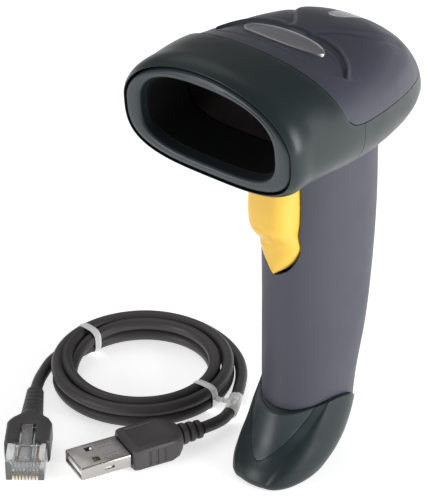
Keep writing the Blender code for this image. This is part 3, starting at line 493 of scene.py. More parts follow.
def clear(name, base, roughness, transmission=0.85, dots=None):
    """Clear or smoky plastic, with a raised dot pattern where dots is their scale."""
    made, nodes, links, shader = new_material(name)
    shader.inputs["Transmission Weight"].default_value = transmission
    shader.inputs["IOR"].default_value = 1.49
    cloud = noise(nodes, links, 60.0)
    darker = tuple(c * 0.92 for c in base)
    links.new(ramp(nodes, links, cloud, ((0.3, darker), (0.7, base))), shader.inputs["Base Color"])
    uneven = noise(nodes, links, 300.0)
    links.new(spread(nodes, links, uneven, roughness, roughness + 0.06), shader.inputs["Roughness"])
    height = uneven
    if dots:
        where = nodes.new("ShaderNodeTexCoord")
        cells = nodes.new("ShaderNodeTexVoronoi")
        cells.inputs["Scale"].default_value = dots
        cells.inputs["Randomness"].default_value = 0.0
        links.new(where.outputs["Object"], cells.inputs["Vector"])
        height = cells.outputs["Distance"]
    bump = nodes.new("ShaderNodeBump")
    bump.inputs["Strength"].default_value = 0.5 if dots else 0.05
    bump.inputs["Distance"].default_value = 0.0003 if dots else 0.00005
    links.new(height, bump.inputs["Height"])
    links.new(bump.outputs["Normal"], shader.inputs["Normal"])
    return made


# The seventh value of each plastic sets the strength of its painted edge highlight.
FINISH = {
    "nose_plastic": plastic("nose_plastic", (0.012, 0.021, 0.022), 0.36, 1500.0, 0.05, 0.06, 0.25, 0.0, 0.40),
    "cover_plastic": plastic("cover_plastic", (0.042, 0.044, 0.066), 0.44, 1400.0, 0.14, 0.07, 0.25),
    "grip_plastic": plastic("grip_plastic", (0.052, 0.053, 0.077), 0.50, 1400.0, 0.18, 0.07, 0.20),
    "bezel_plastic": plastic("bezel_plastic", (0.023, 0.034, 0.040), 0.36, 1400.0, 0.12, 0.06, 0.30),
    "black_plastic": plastic("black_plastic", (0.004, 0.0045, 0.0045), 0.60, 1200.0, 0.10, 0.10, 0.0,
                             specular=0.2),
    "trigger_plastic": plastic("trigger_plastic", (0.86, 0.52, 0.05), 0.32, 1500.0, 0.05, 0.04, 0.15, 0.3),
    "badge_metal": metal("badge_metal", (0.42, 0.41, 0.44), 0.36, (0.06, 1.0, 1.0)),
    "steel": metal("steel", (0.52, 0.50, 0.48), 0.30, (1.0, 0.1, 1.0)),
    "brass": metal("brass", (0.62, 0.46, 0.20), 0.34),
    "gold_contacts": metal("gold_contacts", (0.86, 0.62, 0.25), 0.22),
    "copper_coil": metal("copper_coil", (0.66, 0.32, 0.16), 0.38, (0.1, 1.0, 0.1)),
    "circuit_board": plastic("circuit_board", (0.02, 0.13, 0.05), 0.42, 500.0, 0.2, 0.25),
    "chip_black": plastic("chip_black", (0.018, 0.018, 0.02), 0.50, 900.0, 0.2, 0.10),
    "lens_plastic": clear("lens_plastic", (0.50, 0.50, 0.54), 0.22, 0.25, 900.0),
    "tinted_window": clear("tinted_window", (0.004, 0.002, 0.002), 0.10, 0.1),
    "mirror_glass": metal("mirror_glass", (0.92, 0.92, 0.94), 0.07),
    "clear_plastic": clear("clear_plastic", (0.93, 0.94, 0.95), 0.06, 0.9),
    "cable_jacket": plastic("cable_jacket", (0.055, 0.050, 0.052), 0.46, 900.0, 0.22, 0.10, 0.20),
    "white_paper": plastic("white_paper", (0.95, 0.95, 0.94), 0.62, 1100.0, 0.30, 0.04, 0.0),
    "wire_orange": plastic("wire_orange", (0.70, 0.22, 0.04), 0.45),
    "wire_green": plastic("wire_green", (0.05, 0.35, 0.10), 0.45),
    "wire_blue": plastic("wire_blue", (0.04, 0.10, 0.45), 0.45),
    "wire_brown": plastic("wire_brown", (0.16, 0.07, 0.03), 0.45),
    "wire_white": plastic("wire_white", (0.75, 0.75, 0.73), 0.50),
}


def finish_inner_nodes():
    """Every CAD node that stays on show takes its slot's procedural material."""
    slots = {row["node"]: row["material_slot"] for row in frame["record"]["subparts"]}
    for name, obj in frame["nodes"].items():
        obj.data.materials.clear()
        obj.data.materials.append(FINISH[slots[name]])
        obj.data.shade_smooth()
        obj.data.set_sharp_from_angle(angle=math.radians(32))


# ---------------------------------------------------------------- head

PANEL_BACK = ((0.0, -3.4), (5.0, -3.5), (9.2, -3.9), (14.0, -4.9), (17.5, -6.4), (21.0, -8.9), (23.8, -12.4))
PANEL_FRONT = (
    (0.0, -17.4), (8.0, -17.9), (13.0, -18.3), (17.0, -18.4), (20.0, -17.4), (22.4, -15.2), (23.8, -12.4),
)
PANEL_END = 23.8
SPINE = (
    (-6.0, 3.0), (-3.0, 3.4), (0.0, 4.4), (4.0, 7.2), (8.0, 10.6), (12.0, 12.6), (20.0, 13.6), (34.0, 12.6),
)

# Relief of the top cover, and the stretch of the cover that is fined for it
COVER_DROP = 0.75
PANEL_DEPTH = 0.75
REAR_LIP = 0.50
REAR_GROOVE = 0.35
FRONT_LIP = 0.15
SPINE_RISE = 0.70
SPINE_GROOVE = 0.45
RELIEF_HALF = 26.5
RELIEF_FRONT = -22.0
RELIEF_BACK = 36.0
RELIEF_FLOOR = 133.0


def step(value, width):
    """A smooth step from 0 to 1 over a width each side of 0."""
    t = np.clip(0.5 + value / (2 * width), 0.0, 1.0)
    return t * t * (3 - 2 * t)


def along_line(line, at):
    """A smooth line's value at a place."""
    points = through(line, 80)
    return np.interp(at, points[:, 0], points[:, 1])


def bell(distance, width):
    """A smooth bump that is 1 at no distance and near 0 a width away."""
    return np.exp(-(distance / width) ** 2)


def relief(x, y):
    """How much the top cover rises above the head's plain form: a sunk eye round the badge and the spine."""
    x = np.abs(x)
    back = along_line(PANEL_BACK, x)
    front = along_line(PANEL_FRONT, x)
    inside = step(np.minimum(np.minimum(y - front, back - y), (PANEL_END - x) * 0.8), 0.45)
    beyond = step(24.4 - x, 0.6)
    rise = -COVER_DROP - PANEL_DEPTH * inside
    rise += REAR_LIP * bell(y - back - 0.9, 0.75) * step(x - 6.5, 2.5) * beyond
    rise -= REAR_GROOVE * bell(y - back + 2.6, 0.5) * step(x - 9.0, 2.0) * step(19.0 - x, 2.0)
    rise += FRONT_LIP * bell(y - front + 0.8, 0.6) * beyond
    half = along_line(SPINE, y)
    spine = step(half - x, 1.2) * step(y + 4.6, 1.6)
    rise += SPINE_RISE * spine
    rise -= SPINE_GROOVE * bell(x - half - 1.3, 1.2) * step(y + 1.5, 2.0) * step(30.0 - y, 6.0)
    return rise


def raise_relief(obj):
    """Fines the cover's mesh over its top and raises the relief on it."""
    work = bmesh.new()
    work.from_mesh(obj.data)
    work.normal_update()
    top = []
    for face in work.faces:
        middle = face.calc_center_median() / MM
        within = abs(middle.x) < RELIEF_HALF and RELIEF_FRONT < middle.y - BODY_Y < RELIEF_BACK
        if len(face.verts) == 4 and face.normal.z > 0.3 and within:
            top.append(face)
    edges = list({edge for face in top for edge in face.edges})
    bmesh.ops.subdivide_edges(work, edges=edges, cuts=3, use_grid_fill=True)
    work.normal_update()
    raised = [vert for vert in work.verts if vert.normal.z > 0.15]
    places = np.array([tuple(vert.co) for vert in raised]) / MM
    rise = relief(places[:, 0], places[:, 1] - BODY_Y) * step(places[:, 2] - RELIEF_FLOOR, 3.0)
    for vert, up in zip(raised, rise):
        vert.co.z += float(up) * MM
    work.to_mesh(obj.data)
    work.free()
    return obj


def head_rings(grow=0.0):
    """Rings of the head's form, or of its inside for a negative grow."""
    start, end = HEAD[0][0], HEAD[-1][0]
    share = np.linspace(0.0, 1.0, HEAD_ALONG)
    places = start + (end - start) * (1.0 - (1.0 - share) ** 1.25)
    rings = []
    for y, row in zip(places, smooth_rows(HEAD, places)):
        inset = 0.0 if grow == 0.0 else (-1.0 if y < start + 5.0 else grow)
        half, top, wide, bottom = row[:4]
        if grow and min(half, top - wide, wide - bottom) + inset < 1.6:
            break
        rings.append(section(tuple(row), y, inset))
    if grow:
        rings[0] = [(x, y - 6.0, z) for x, y, z in rings[0]]
    else:
        rings = rim(rings)
    return rings


def rim(rings):
    """Rounds the front edge of the nose."""
    row = HEAD[0][1:]
    front = []
    for i in range(RIM_STEPS):
        angle = math.pi / 2 * (1 - i / RIM_STEPS)
        y = HEAD[0][0] - 0.2 + RIM_RADIUS * (1 - math.sin(angle))
        front.append(section(row, y, -RIM_RADIUS * (1 - math.cos(angle))))
    return front + rings[1:]


def solid_head(name, grow=0.0):
    """The head's form as a solid."""
    return add(name, loft_mesh(name, head_rings(grow)), SCANNER)


def seam_plate(name, shift):
    """Everything above the top cover's lower edge, moved down and forward by a shift."""
    line = [tuple(p) for p in through(COVER_LINE, 70)]
    points = [(y - 0.7 * shift, z - 0.7 * shift) for y, z in line]
    points += [(60.0, 170.0), (line[0][0] - 0.2, 170.0)]
    return plate(name, points, -45.0, 45.0, "YZ", SCANNER)


def handle_solid(name, low, high, inset=0.0, levels=60, around=120):
    """The handle's form between two heights."""
    places = np.linspace(low, high, levels)
    rings = []
    for z, (half_x, half_y, middle) in zip(places, smooth_rows(HANDLE, places)):
        ring = []
        for angle in angles(around):
            ring.append(((half_x - inset) * power(math.cos(angle), HANDLE_FULLNESS),
                         middle + (half_y - inset) * power(math.sin(angle), HANDLE_FULLNESS), z))
        rings.append(ring)
    return add(name, loft_mesh(name, rings), SCANNER)


def head():
    """Nose cover, top cover and rear shell."""
    nose = solid_head("nose_shell")
    cut(nose, solid_head("inside", -SHELL_WALL))
    cut(nose, seam_plate("above", SEAM_GAP))
    rear = add("rear_band", nose.data.copy())
    front = block("front", (-45, -70, 95), (45, SHELL_SEAM_Y - SEAM_GAP / 2, 170), place=SCANNER)
    cut(nose, front, "INTERSECT")
    back = block("back", (-45, SHELL_SEAM_Y + SEAM_GAP / 2, 95), (45, 60, 170), place=SCANNER)
    cut(rear, back, "INTERSECT")
    for piece in (nose, rear):
        cut(piece, handle_solid("way", 88.0, 122.0, -0.15, 20))
    cut(nose, slot_solid("nose_slot", -22.4))
    cover = solid_head("cover_shell")
    cut(cover, solid_head("inside", -SHELL_WALL - 2.0))
    cut(cover, seam_plate("above", -SEAM_GAP / 2), "INTERSECT")
    lens = add("lens_cap", cover.data.copy())
    cut(cover, plate("lens_way", teardrop(0.12), 100.0, 170.0, "XY", SCANNER))
    cut(lens, plate("lens_shape", teardrop(), 128.0, 170.0, "XY", SCANNER), "INTERSECT")
    for piece, width in ((nose, 0.6), (rear, 0.6), (cover, 0.7), (lens, 0.35)):
        soften(piece, width, 4, 50.0)
    raise_relief(cover)
    raise_relief(lens)
    show(nose, "nose_plastic", ["nose_cover"], angle=40)
    show(rear, "nose_plastic", ["rear_shell"], angle=40)
    show(cover, "cover_plastic", ["top_cover"], angle=40)
    show(lens, "lens_plastic", ["indicator_lens"], angle=40)


LENS = (11.0, 33.0, 4.6)     # front, back, half width


def teardrop(grow=0.0):
    """The indicator lens in plan: round in front, drawn out to a point behind."""
    front, back, half = LENS
    points = []
    for angle in angles(48):
        along = (1 - math.cos(angle)) / 2
        y = front - grow + (back - front + 2 * grow) * along
        points.append(((half + grow) * math.sin(angle) * (1.0 - 0.55 * along), y))
    return points


BADGE = (-10.2, 14.3, 4.8)     # middle, half width, half depth
BADGE_Z = 145.85
BADGE_SLOPE = math.radians(-8.0)
BADGE_RIM = (     # distance in from the edge, height
    (0.0, -0.8), (0.0, 0.15), (0.12, 0.38), (0.38, 0.52), (0.68, 0.46), (0.90, 0.24), (1.0, 0.12),
)


def badge():
    """Silver oval plate with a raised, rounded rim and a faintly crowned field, blank."""
    middle, half_x, half_y = BADGE
    profile = list(BADGE_RIM)
    profile += [(half_y * share, 0.12 + 0.16 * share) for share in (0.4, 0.6, 0.8, 0.99)]
    rings = []
    for inset, height in profile:
        ring = []
        for angle in angles(128):
            x = (half_x - inset) * math.cos(angle)
            ring.append((x, (half_y - inset) * math.sin(angle), height - 0.0042 * x * x))
        rings.append(ring)
    place = SCANNER @ moved(0.0, middle, BADGE_Z) @ Matrix.Rotation(BADGE_SLOPE, 4, "X")
    obj = add("badge_oval", loft_mesh("badge_oval", rings), place)
    show(obj, "badge_metal", ["badge_plate"], angle=50)


def arc_rings(shape, y, radius, start, end, steps):
    """Rings that round an edge: angle 0 is the side of the section and 90 its face."""
    rings = []
    for i in range(steps + 1):
        angle = math.radians(start + (end - start) * i / steps)
        rings.append(section(shape, y + radius * (1 - math.sin(angle)), -radius * (1 - math.cos(angle))))
    return rings


def bezel():
    """Satin ring round the scan window: rounded outer edge, soft face and a fine inner lip."""
    out, hole = BEZEL_OUTSIDE, BEZEL_OPENING
    fill = 0.25
    face = BEZEL_FACE_Y
    out = (out[0] + fill, out[1] + fill, out[2], out[3] - fill, *out[4:])
    rings = [section(out, BEZEL_BACK_Y, -0.1)]
    rings += arc_rings(out, face, 1.6, 0, 90, 6)
    middle = tuple((a + b) / 2 for a, b in zip(out, hole))
    rings.append(section(middle, face - 0.15))
    for i in range(7):
        angle = math.radians(90 - 15 * i)
        rings.append(section(hole, face + 1.2 * (1 - math.sin(angle)), 1.2 * (1 - math.cos(angle))))
    rings.append(section(hole, BEZEL_BACK_Y + 0.9, 0.05))
    rings.append(section(hole, BEZEL_BACK_Y + 0.9, 0.9))
    obj = add("bezel_ring", loft_mesh("bezel_ring", rings, closed=True), SCANNER)
    show(obj, "bezel_plastic", ["window_bezel"], angle=50)


def hood():
    """Black light hood: a smooth throat that narrows to the window."""
    front = BEZEL_BACK_Y + 0.35
    steps = 4
    rings = []
    for i in range(steps + 1):
        share = i / steps
        shape = tuple(a + (b - a) * share for a, b in zip(HOOD_FRONT, HOOD_BACK))
        y = front + (HOOD_BACK_Y - front) * share
        rings.append(section(shape, y))
    rings.append(section(HOOD_BACK, HOOD_BACK_Y, 1.2))
    rings.append(section(HOOD_FRONT, front + 1.0, 1.4))
    rings.append(section(HOOD_FRONT, front, 1.4))
    obj = add("hood_tunnel", loft_mesh("hood_tunnel", rings, closed=True), SCANNER)
    show(obj, "black_plastic", ["light_hood"], angle=35)


# ---------------------------------------------------------------- handle, foot and trigger

def slot_solid(name, front):
    """The slot that the trigger swings in."""
    heights = np.linspace(70.0, 111.0, 30)
    rows = smooth_rows([row[:2] for row in TRIGGER], heights)[:, 0]
    right = [(0.0, TRIGGER[0][0] - 1.05)]
    for z, half in zip(heights, rows):
        drop = 0.6 if z < 78 else 0.6 * max(0.0, (81 - z) / 3)
        right.append((half + 0.45, z - drop))
    right.append((7.1, 119.0))
    points = right + [(-x, z) for x, z in reversed(right[1:])]
    return plate(name, points, front, -6.0, "XZ", SCANNER)


def foot_line_plate(name, shift, above=True):
    """The solid above or below the seam between handle and foot."""
    line = [(y, z + shift) for y, z in through(FOOT_LINE, 48)]
    end = 130.0 if above else -20.0
    points = [(-40.0, line[0][1])] + line + [(45.0, line[-1][1]), (45.0, end), (-40.0, end)]
    return plate(name, points, -32.0, 32.0, "YZ", SCANNER)


def handle():
    """Satin grip: a hollow tube with rounded ends and the trigger's slot."""
    grip = handle_solid("grip_tube", 10.0, HANDLE_TOP, 0.0, 90, 144)
    cut(grip, handle_solid("hollow", 4.0, 124.0, 1.9, 24))
    cut(grip, foot_line_plate("above_foot", 0.12), "INTERSECT")
    cut(grip, slot_solid("slot", -32.0))
    soften(grip, 0.4, 2, 50.0)
    show(grip, "grip_plastic", ["handle_grip"], angle=45)


TOE_STEPS = 10
SIDE_STEPS = 24


def foot_ring(row, z):
    """A level section of the foot: flat toe, two ridges, full sides and a round back."""
    front, ridge_x, ridge_y, half, wide_y, back = row
    points = []
    for i in range(TOE_STEPS):
        t = i / (TOE_STEPS - 1)
        points.append((ridge_x * t, front + (ridge_y - front) * t ** 2.2))
    for i in range(1, SIDE_STEPS):
        t = math.pi / 2 * i / SIDE_STEPS
        x = ridge_x + (half - ridge_x) * math.sin(t)
        points.append((x, ridge_y + (wide_y - ridge_y) * (1 - math.cos(t))))
    for i in range(SIDE_STEPS):
        t = math.pi / 2 * i / (SIDE_STEPS - 1)
        points.append((half * math.cos(t), wide_y + (back - wide_y) * math.sin(t)))
    ring = points + [(-x, y) for x, y in reversed(points[1:-1])]
    return [(x, y, z) for x, y in ring]


def foot_solid(name, shift=0.0):
    """The foot's form, moved back by a shift."""
    places = np.concatenate([[0.0, 0.3, 0.9], np.linspace(1.8, 28.0, 36)])
    rows = smooth_rows(FOOT, places)
    rings = [foot_ring(row, z) for z, row in zip(places, rows)]
    return add(name, loft_mesh(name, rings), SCANNER @ moved(0.0, shift, 0.0))


def tongue_points(grow):
    """The tongue's outline in front view."""
    right = [(0.0, 7.6 - grow), (4.8 + grow, 11.3), (8.4 + grow, 17.2), (10.3 + grow, 22.6),
             (11.0 + grow, 27.0)]
    knots = [(-x, z) for x, z in reversed(right[1:])] + right
    return [tuple(p) for p in through(knots, 64)]


def foot():
    """Boot-shaped foot cap and the tongue let into its toe."""
    cap = foot_solid("foot_shell")
    cut(cap, foot_line_plate("above_cap", -0.12, True))
    cut(cap, block("socket_way", (-8.6, -9.8, 8.1), (8.6, 5.8, 40.0), place=SCANNER))
    cut(cap, block("plug_way", (-6.4, -5.4, -5.0), (6.4, 3.6, 9.0), place=SCANNER))
    recess = plate("recess", tongue_points(0.15), -34.0, -2.0, "XZ", SCANNER)
    cut(recess, foot_solid("floor", 1.2))
    cut(cap, recess)
    soften(cap, 0.45, 3, 34.0)
    show(cap, "nose_plastic", ["foot_cap"], angle=45)
    tongue = foot_solid("tongue_panel")
    slab = plate("slab", tongue_points(0.0), -34.0, -2.0, "XZ", SCANNER)
    cut(slab, foot_solid("floor", 1.0))
    cut(tongue, slab, "INTERSECT")
    cut(tongue, foot_line_plate("above_tongue", -0.12, True))
    soften(tongue, 0.35, 3, 34.0)
    show(tongue, "bezel_plastic", ["foot_inlay"], angle=45)


def trigger():
    """Glossy trigger with a crowned finger pad, a rounded rim and a soft step at the finger rest."""
    places = np.linspace(TRIGGER[0][0], TRIGGER[-1][0], 74)
    rows = smooth_rows(TRIGGER, places)
    rings = []
    around = 40
    for z, (half, front, full) in zip(places, rows):
        root_y = front + TRIGGER_REACH
        ring = []
        for i in range(around):
            t = math.pi * i / (around - 1)
            y = root_y - TRIGGER_REACH * power(math.sin(t), 2 / full)
            ring.append((half * power(math.cos(t), 2 / full), y, z))
        back = -2.7 if z > 96.0 else -8.7
        waist = (root_y + back) / 2
        ring += [(-half, waist, z), (-half, back, z), (0.0, back, z), (half, back, z), (half, waist, z)]
        rings.append(ring)
    obj = add("trigger_lever", loft_mesh("trigger_lever", rings), SCANNER)
    cut(obj, block("spring_way", (-3.2, -12.4, 85.6), (3.2, 0.0, 92.0), place=SCANNER))
    cut(obj, turned("bore", ((-12.0, 1.35), (12.0, 1.35)), 24, SCANNER @ moved(0.0, *TRIGGER_PIN)))
    soften(obj, 0.35, 2, 50.0)
    show(obj, "trigger_plastic", ["trigger"], "trigger", 50)


# ---------------------------------------------------------------- cable

def ring_point(degrees, radius, z):
    """A point round the coil."""
    angle = math.radians(degrees)
    return (COIL_CENTRE[0] + radius * math.cos(angle), COIL_CENTRE[1] + radius * math.sin(angle), z)


def smooth_between(a, b, share):
    """A value eased from one to another."""
    t = max(0.0, min(1.0, share))
    return a + (b - a) * t * t * (3 - 2 * t)


TURNS = 4.5
POINTS_A_TURN = 28
COIL_START = 217.0
COIL_END = 37.0
MODULAR_ROUTE = ((-80.3, -32.4, 4.3), (-83.8, -27.2, 4.0))
USB_ROUTE = (
    (-33.4, 10.2, 2.9), (-29.8, 3.6, 3.0), (-26.4, -3.2, 3.4), (-25.3, -9.6, 3.9), (-26.9, -15.7, 4.3),
)


def cable_route():
    """The whole cable's line: modular tail, the coil's turns, and the USB tail."""
    outer = COIL_OUTER - CORD_R
    inner = COIL_INNER + CORD_R
    low = TAIL_Z
    high = TAIL_Z + 2 * CORD_R - 0.05
    line = [Vector(p) for p in MODULAR_ROUTE]
    lanes = (     # turns so far, radius, height
        (0.0, TAIL_RING, low), (0.10, outer, low), (0.95, outer, low), (1.15, inner, low), (1.95, inner, low),
        (2.2, inner + 0.2, high), (2.9, inner + 0.1, high), (3.15, outer - 0.1, high), (3.95, outer, high),
        (4.25, outer + 0.2, high), (TURNS, TAIL_RING, low),
    )
    count = round(TURNS * POINTS_A_TURN)
    for i in range(count + 1):
        turn = TURNS * i / count
        for (t0, r0, z0), (t1, r1, z1) in zip(lanes, lanes[1:]):
            if t0 <= turn + 1e-9 and turn <= t1 + 1e-6:
                share = (turn - t0) / (t1 - t0)
                line.append(Vector(ring_point(COIL_START - 360.0 * turn, smooth_between(r0, r1, share),
                                              smooth_between(z0, z1, share))))
                break
    line += [Vector(p) for p in USB_ROUTE]
    return line


def cord_curve(name, points):
    """A round cord along points, in metres."""
    curve = bpy.data.curves.new(name, "CURVE")
    curve.dimensions = "3D"
    curve.bevel_depth = CORD_R * MM
    curve.bevel_resolution = 8
    curve.use_fill_caps = True
    curve.resolution_u = 6
    spline = curve.splines.new("NURBS")
    spline.points.add(len(points) - 1)
    for place, point in zip(spline.points, points):
        place.co = (*point, 1.0)
    spline.order_u = 3
    spline.use_endpoint_u = True
    obj = bpy.data.objects.new(name, curve)
    bpy.context.scene.collection.objects.link(obj)
    return obj


def cable():
    """The cable itself, as one cord along its whole route, in place of the CAD coil and tails."""
    points = [CABLE @ (p * MM) for p in cable_route()]
    obj = cord_curve("data_cable", points)
    obj.data.materials.append(FINISH["cable_jacket"])
    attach(obj, "root")
    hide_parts("cable_coil", "cable_tail_modular", "cable_tail_usb")


def swept(name, path, rings_at):
    """A solid swept along a path: rings_at(i) gives its (across, up) outline at a point of the path."""
    rings = []
    count = len(path)
    for i in range(count):
        before = path[max(i - 1, 0)]
        after = path[min(i + 1, count - 1)]
        along = (Vector(after) - Vector(before)).normalized()
        across = along.cross(Vector((0.0, 0.0, 1.0)))
        across = across.normalized() if across.length > 0.001 else Vector((1.0, 0.0, 0.0))
        up = across.cross(along)
        rings.append([tuple(Vector(path[i]) + across * a + up * b) for a, b in rings_at(i)])
    return loft_mesh(name, rings)


LABEL_STEPS = 60
LABEL_START = 0.36
LABEL_END = 0.62


def label():
    """White paper sleeve wrapped round the cable, with its overlap as a low step."""
    line = through([*reversed(USB_ROUTE), ring_point(COIL_END, TAIL_RING, TAIL_Z)], LABEL_STEPS + 1)
    start, end = round(LABEL_START * LABEL_STEPS), round(LABEL_END * LABEL_STEPS)

    def ring(i):
        flag = []
        for angle in angles(40):
            radius = CORD_R + 0.32 + (0.30 if 0.3 < angle < 1.4 else 0.08 * math.cos(3 * angle))
            flag.append((radius * math.cos(angle), radius * math.sin(angle)))
        return flag

    obj = add("label_sleeve", swept("label_sleeve", [tuple(p) for p in line[start:end + 1]], ring), CABLE)
    soften(obj, 0.12, 2)
    return show(obj, "white_paper", ["cable_label"])


TIE_WIDTH = 2.4
TIE_FULLNESS = 0.62


def tie(name, node, degrees, twisted):
    """Paper-covered wire tie: a flat band with a raised wire down its middle, pulled round the turns."""
    middle = (COIL_OUTER + COIL_INNER) / 2
    half_r, half_z = (COIL_OUTER - COIL_INNER) / 2 + 0.12, (COIL_TOP - COIL_BOTTOM) / 2 + 0.12
    centre_z = (COIL_TOP + COIL_BOTTOM) / 2
    turn = Matrix.Rotation(math.radians(degrees), 4, "Z")
    profile = ((-0.5, 0.0), (-0.5, 0.22), (-0.18, 0.25), (0.0, 0.52), (0.18, 0.25), (0.5, 0.22), (0.5, 0.0))
    rings = []
    for angle in angles(72):
        c, t = power(math.cos(angle), TIE_FULLNESS), power(math.sin(angle), TIE_FULLNESS)
        out = Vector((math.cos(angle), 0.0, math.sin(angle)))
        base = Vector((middle + half_r * c, 0.0, centre_z + half_z * t))
        rings.append([tuple(base + out * h + Vector((0.0, TIE_WIDTH * w, 0.0))) for w, h in profile])
    place = CABLE @ moved(*COIL_CENTRE, 0.0) @ turn
    obj = add(name, loft_mesh(name, rings, closed=True), place)
    show(obj, "white_paper", [node])
    pieces = [obj]
    if twisted:
        pieces += [tie_end(name, place, middle + half_r, phase) for phase in (0, 1)]
    return pieces


def tie_end(name, place, start, phase):
    """One of a tie's two free ends, wound round the other and then splayed."""
    path = []
    for i in range(40):
        share = i / 39
        angle = math.pi * phase + 2 * math.pi * 2.2 * share
        apart = 0.45 + 1.5 * max(0.0, share - 0.72) / 0.28
        path.append((start + 0.3 + 7.5 * share, apart * math.cos(angle),
                     5.2 + 1.4 * share + apart * math.sin(angle)))
    body = [(0.75, 0.0), (0.2, 0.28), (-0.2, 0.28), (-0.75, 0.0), (-0.2, -0.28), (0.2, -0.28)]
    end = name + "_end_" + ("a", "b")[phase]
    obj = add(end, swept(end, path, lambda i: body), place)
    return show(obj, "white_paper", [])


def ribs(start, end, first, last, count, groove):
    """Profile of a ribbed relief: rounded rings with grooves between, tapering towards the cable."""
    profile = [(start, 0.05), (start, first)]
    pitch = (end - start) / count
    for i in range(count):
        radius = first + (last - first) * (i + 1) / count
        at = start + i * pitch
        profile += [(at + 0.10 * pitch, radius), (at + 0.18 * pitch, radius - groove * 0.6),
                    (at + 0.27 * pitch, radius - groove), (at + 0.36 * pitch, radius - groove * 0.6),
                    (at + 0.44 * pitch, radius - 0.06), (at + 0.62 * pitch, radius + 0.04),
                    (at + 0.9 * pitch, radius)]
    profile += [(end, last - 0.1), (end, 0.05)]
    return profile


CONTACTS_Y = [-3.57 + i * 1.02 for i in range(8)]
WIRES = (
    "wire_orange", "wire_white", "wire_green", "wire_blue",
    "wire_white", "wire_green", "wire_brown", "wire_white",
)
LATCH = (
    (0.0, 2.9), (1.0, 3.1), (5.0, 3.6), (14.6, 4.75), (16.2, 5.0), (16.2, 5.55), (10.4, 5.0), (6.0, 4.5),
    (5.8, 4.15), (1.8, 3.9), (0.0, 3.85),
)

# Boot and grip: X, half width, bottom, top, fullness
BOOT = (
    (9.5, 6.7, -4.25, 3.9, 7), (10.0, 7.0, -4.4, 4.2, 7), (20.5, 7.0, -4.4, 4.2, 6),
    (23.2, 6.2, -4.2, 3.9, 4), (25.4, 4.6, -3.9, 3.7, 2.6), (27.2, 3.7, -3.6, 3.6, 2),
)
GRIP = (
    (17.0, 6.7, -3.4, 3.4, 6), (17.5, 7.25, -3.85, 3.85, 7), (18.6, 7.4, -3.95, 3.95, 8),
    (30.0, 7.4, -3.95, 3.95, 8), (32.6, 6.7, -3.8, 3.8, 5), (34.4, 5.0, -3.6, 3.6, 3),
    (35.2, 3.9, -3.4, 3.4, 2.3),
)


def rounded(name, stations, around):
    """A block along local X with rounded corners, through its stations."""
    rings = []
    for x, half_y, low, high, full in stations:
        rings.append([(x, half_y * power(math.cos(angle), 2 / full),
                       (high + low) / 2 + (high - low) / 2 * power(math.sin(angle), 2 / full))
                      for angle in angles(around)])
    return add(name, loft_mesh(name, rings))


def modular():
    """Clear modular plug with its fingers, gold contacts, coloured wires, latch and ribbed boot."""
    place = CABLE @ moved(*MODULAR_TIP, PLUG_Z) @ Matrix.Rotation(MODULAR_TURN, 4, "Z")
    body = block("plug_body", (0.0, -5.85, -4.0), (20.0, 5.85, 2.6))
    for y in CONTACTS_Y:
        cut(body, block("slot", (-1.0, y - 0.33, -5.0), (6.4, y + 0.33, -2.4)))
        cut(body, block("channel", (2.0, y - 0.38, -1.6), (11.5, y + 0.38, -0.8)))
    cut(body, block("wedge", (10.8, -4.4, -2.2), (21.0, 4.4, 1.2)))
    cut(body, block("latch_bed", (3.2, -3.3, 1.9), (21.0, 3.3, 3.5)))
    soften(body, 0.18, 2, 40.0)
    body.data.transform(place)
    pieces = [show(body, "clear_plastic", ["modular_plug"])]
    blades, wires = [], []
    for y in CONTACTS_Y:
        blades.append(block("blade", (0.6, y - 0.16, -3.75), (6.0, y + 0.16, -2.7), 0.06, 1, place))
        run = ((2.2, 0.02), (2.2, 0.34), (14.5, 0.34), (14.5, 0.02))
        wires.append(turned("wire", run, 12, place @ moved(0.0, y, -1.2)))
    blades = joined("plug_contacts", blades, [FINISH["gold_contacts"]] * 8)
    pieces.append(show(blades, "gold_contacts", ["modular_contacts"]))
    wires = joined("plug_wires", wires, [FINISH[colour] for colour in WIRES])
    pieces.append(show(wires, "white_paper", []))
    jacket = turned("plug_jacket", ((12.5, 0.05), (12.5, 1.7), (20.0, 1.85), (20.0, 0.05)), 32)
    jacket.data.transform(moved(0.0, 0.0, -0.5))
    jacket.data.transform(place)
    pieces.append(show(jacket, "cable_jacket", []))
    lever = plate("latch_lever", LATCH, -1.6, 1.6, "XZ")
    soften(lever, 0.18, 2)
    lever.data.transform(place)
    pieces.append(show(lever, "clear_plastic", ["modular_latch"], "plug_latch"))
    pieces.append(boot(place))
    return pieces


def boot(place):
    """Soft boot over the plug's back end, drawn in to a ribbed neck."""
    shroud = rounded("boot_shroud", BOOT, 48)
    cut(shroud, block("boot_inside", (8.0, -6.1, -6.0), (20.3, 6.1, 2.9)))
    cut(shroud, block("latch_gap", (8.0, -2.4, 2.5), (18.5, 2.4, 6.0)))
    neck = turned("neck", ribs(25.6, MODULAR_LENGTH - 0.4, 3.7, 2.7, 7, 0.7), 40)
    cut(shroud, neck, "UNION")
    soften(shroud, 0.25, 2, 45.0)
    shroud.data.transform(place)
    return show(shroud, "cable_jacket", ["modular_boot"])


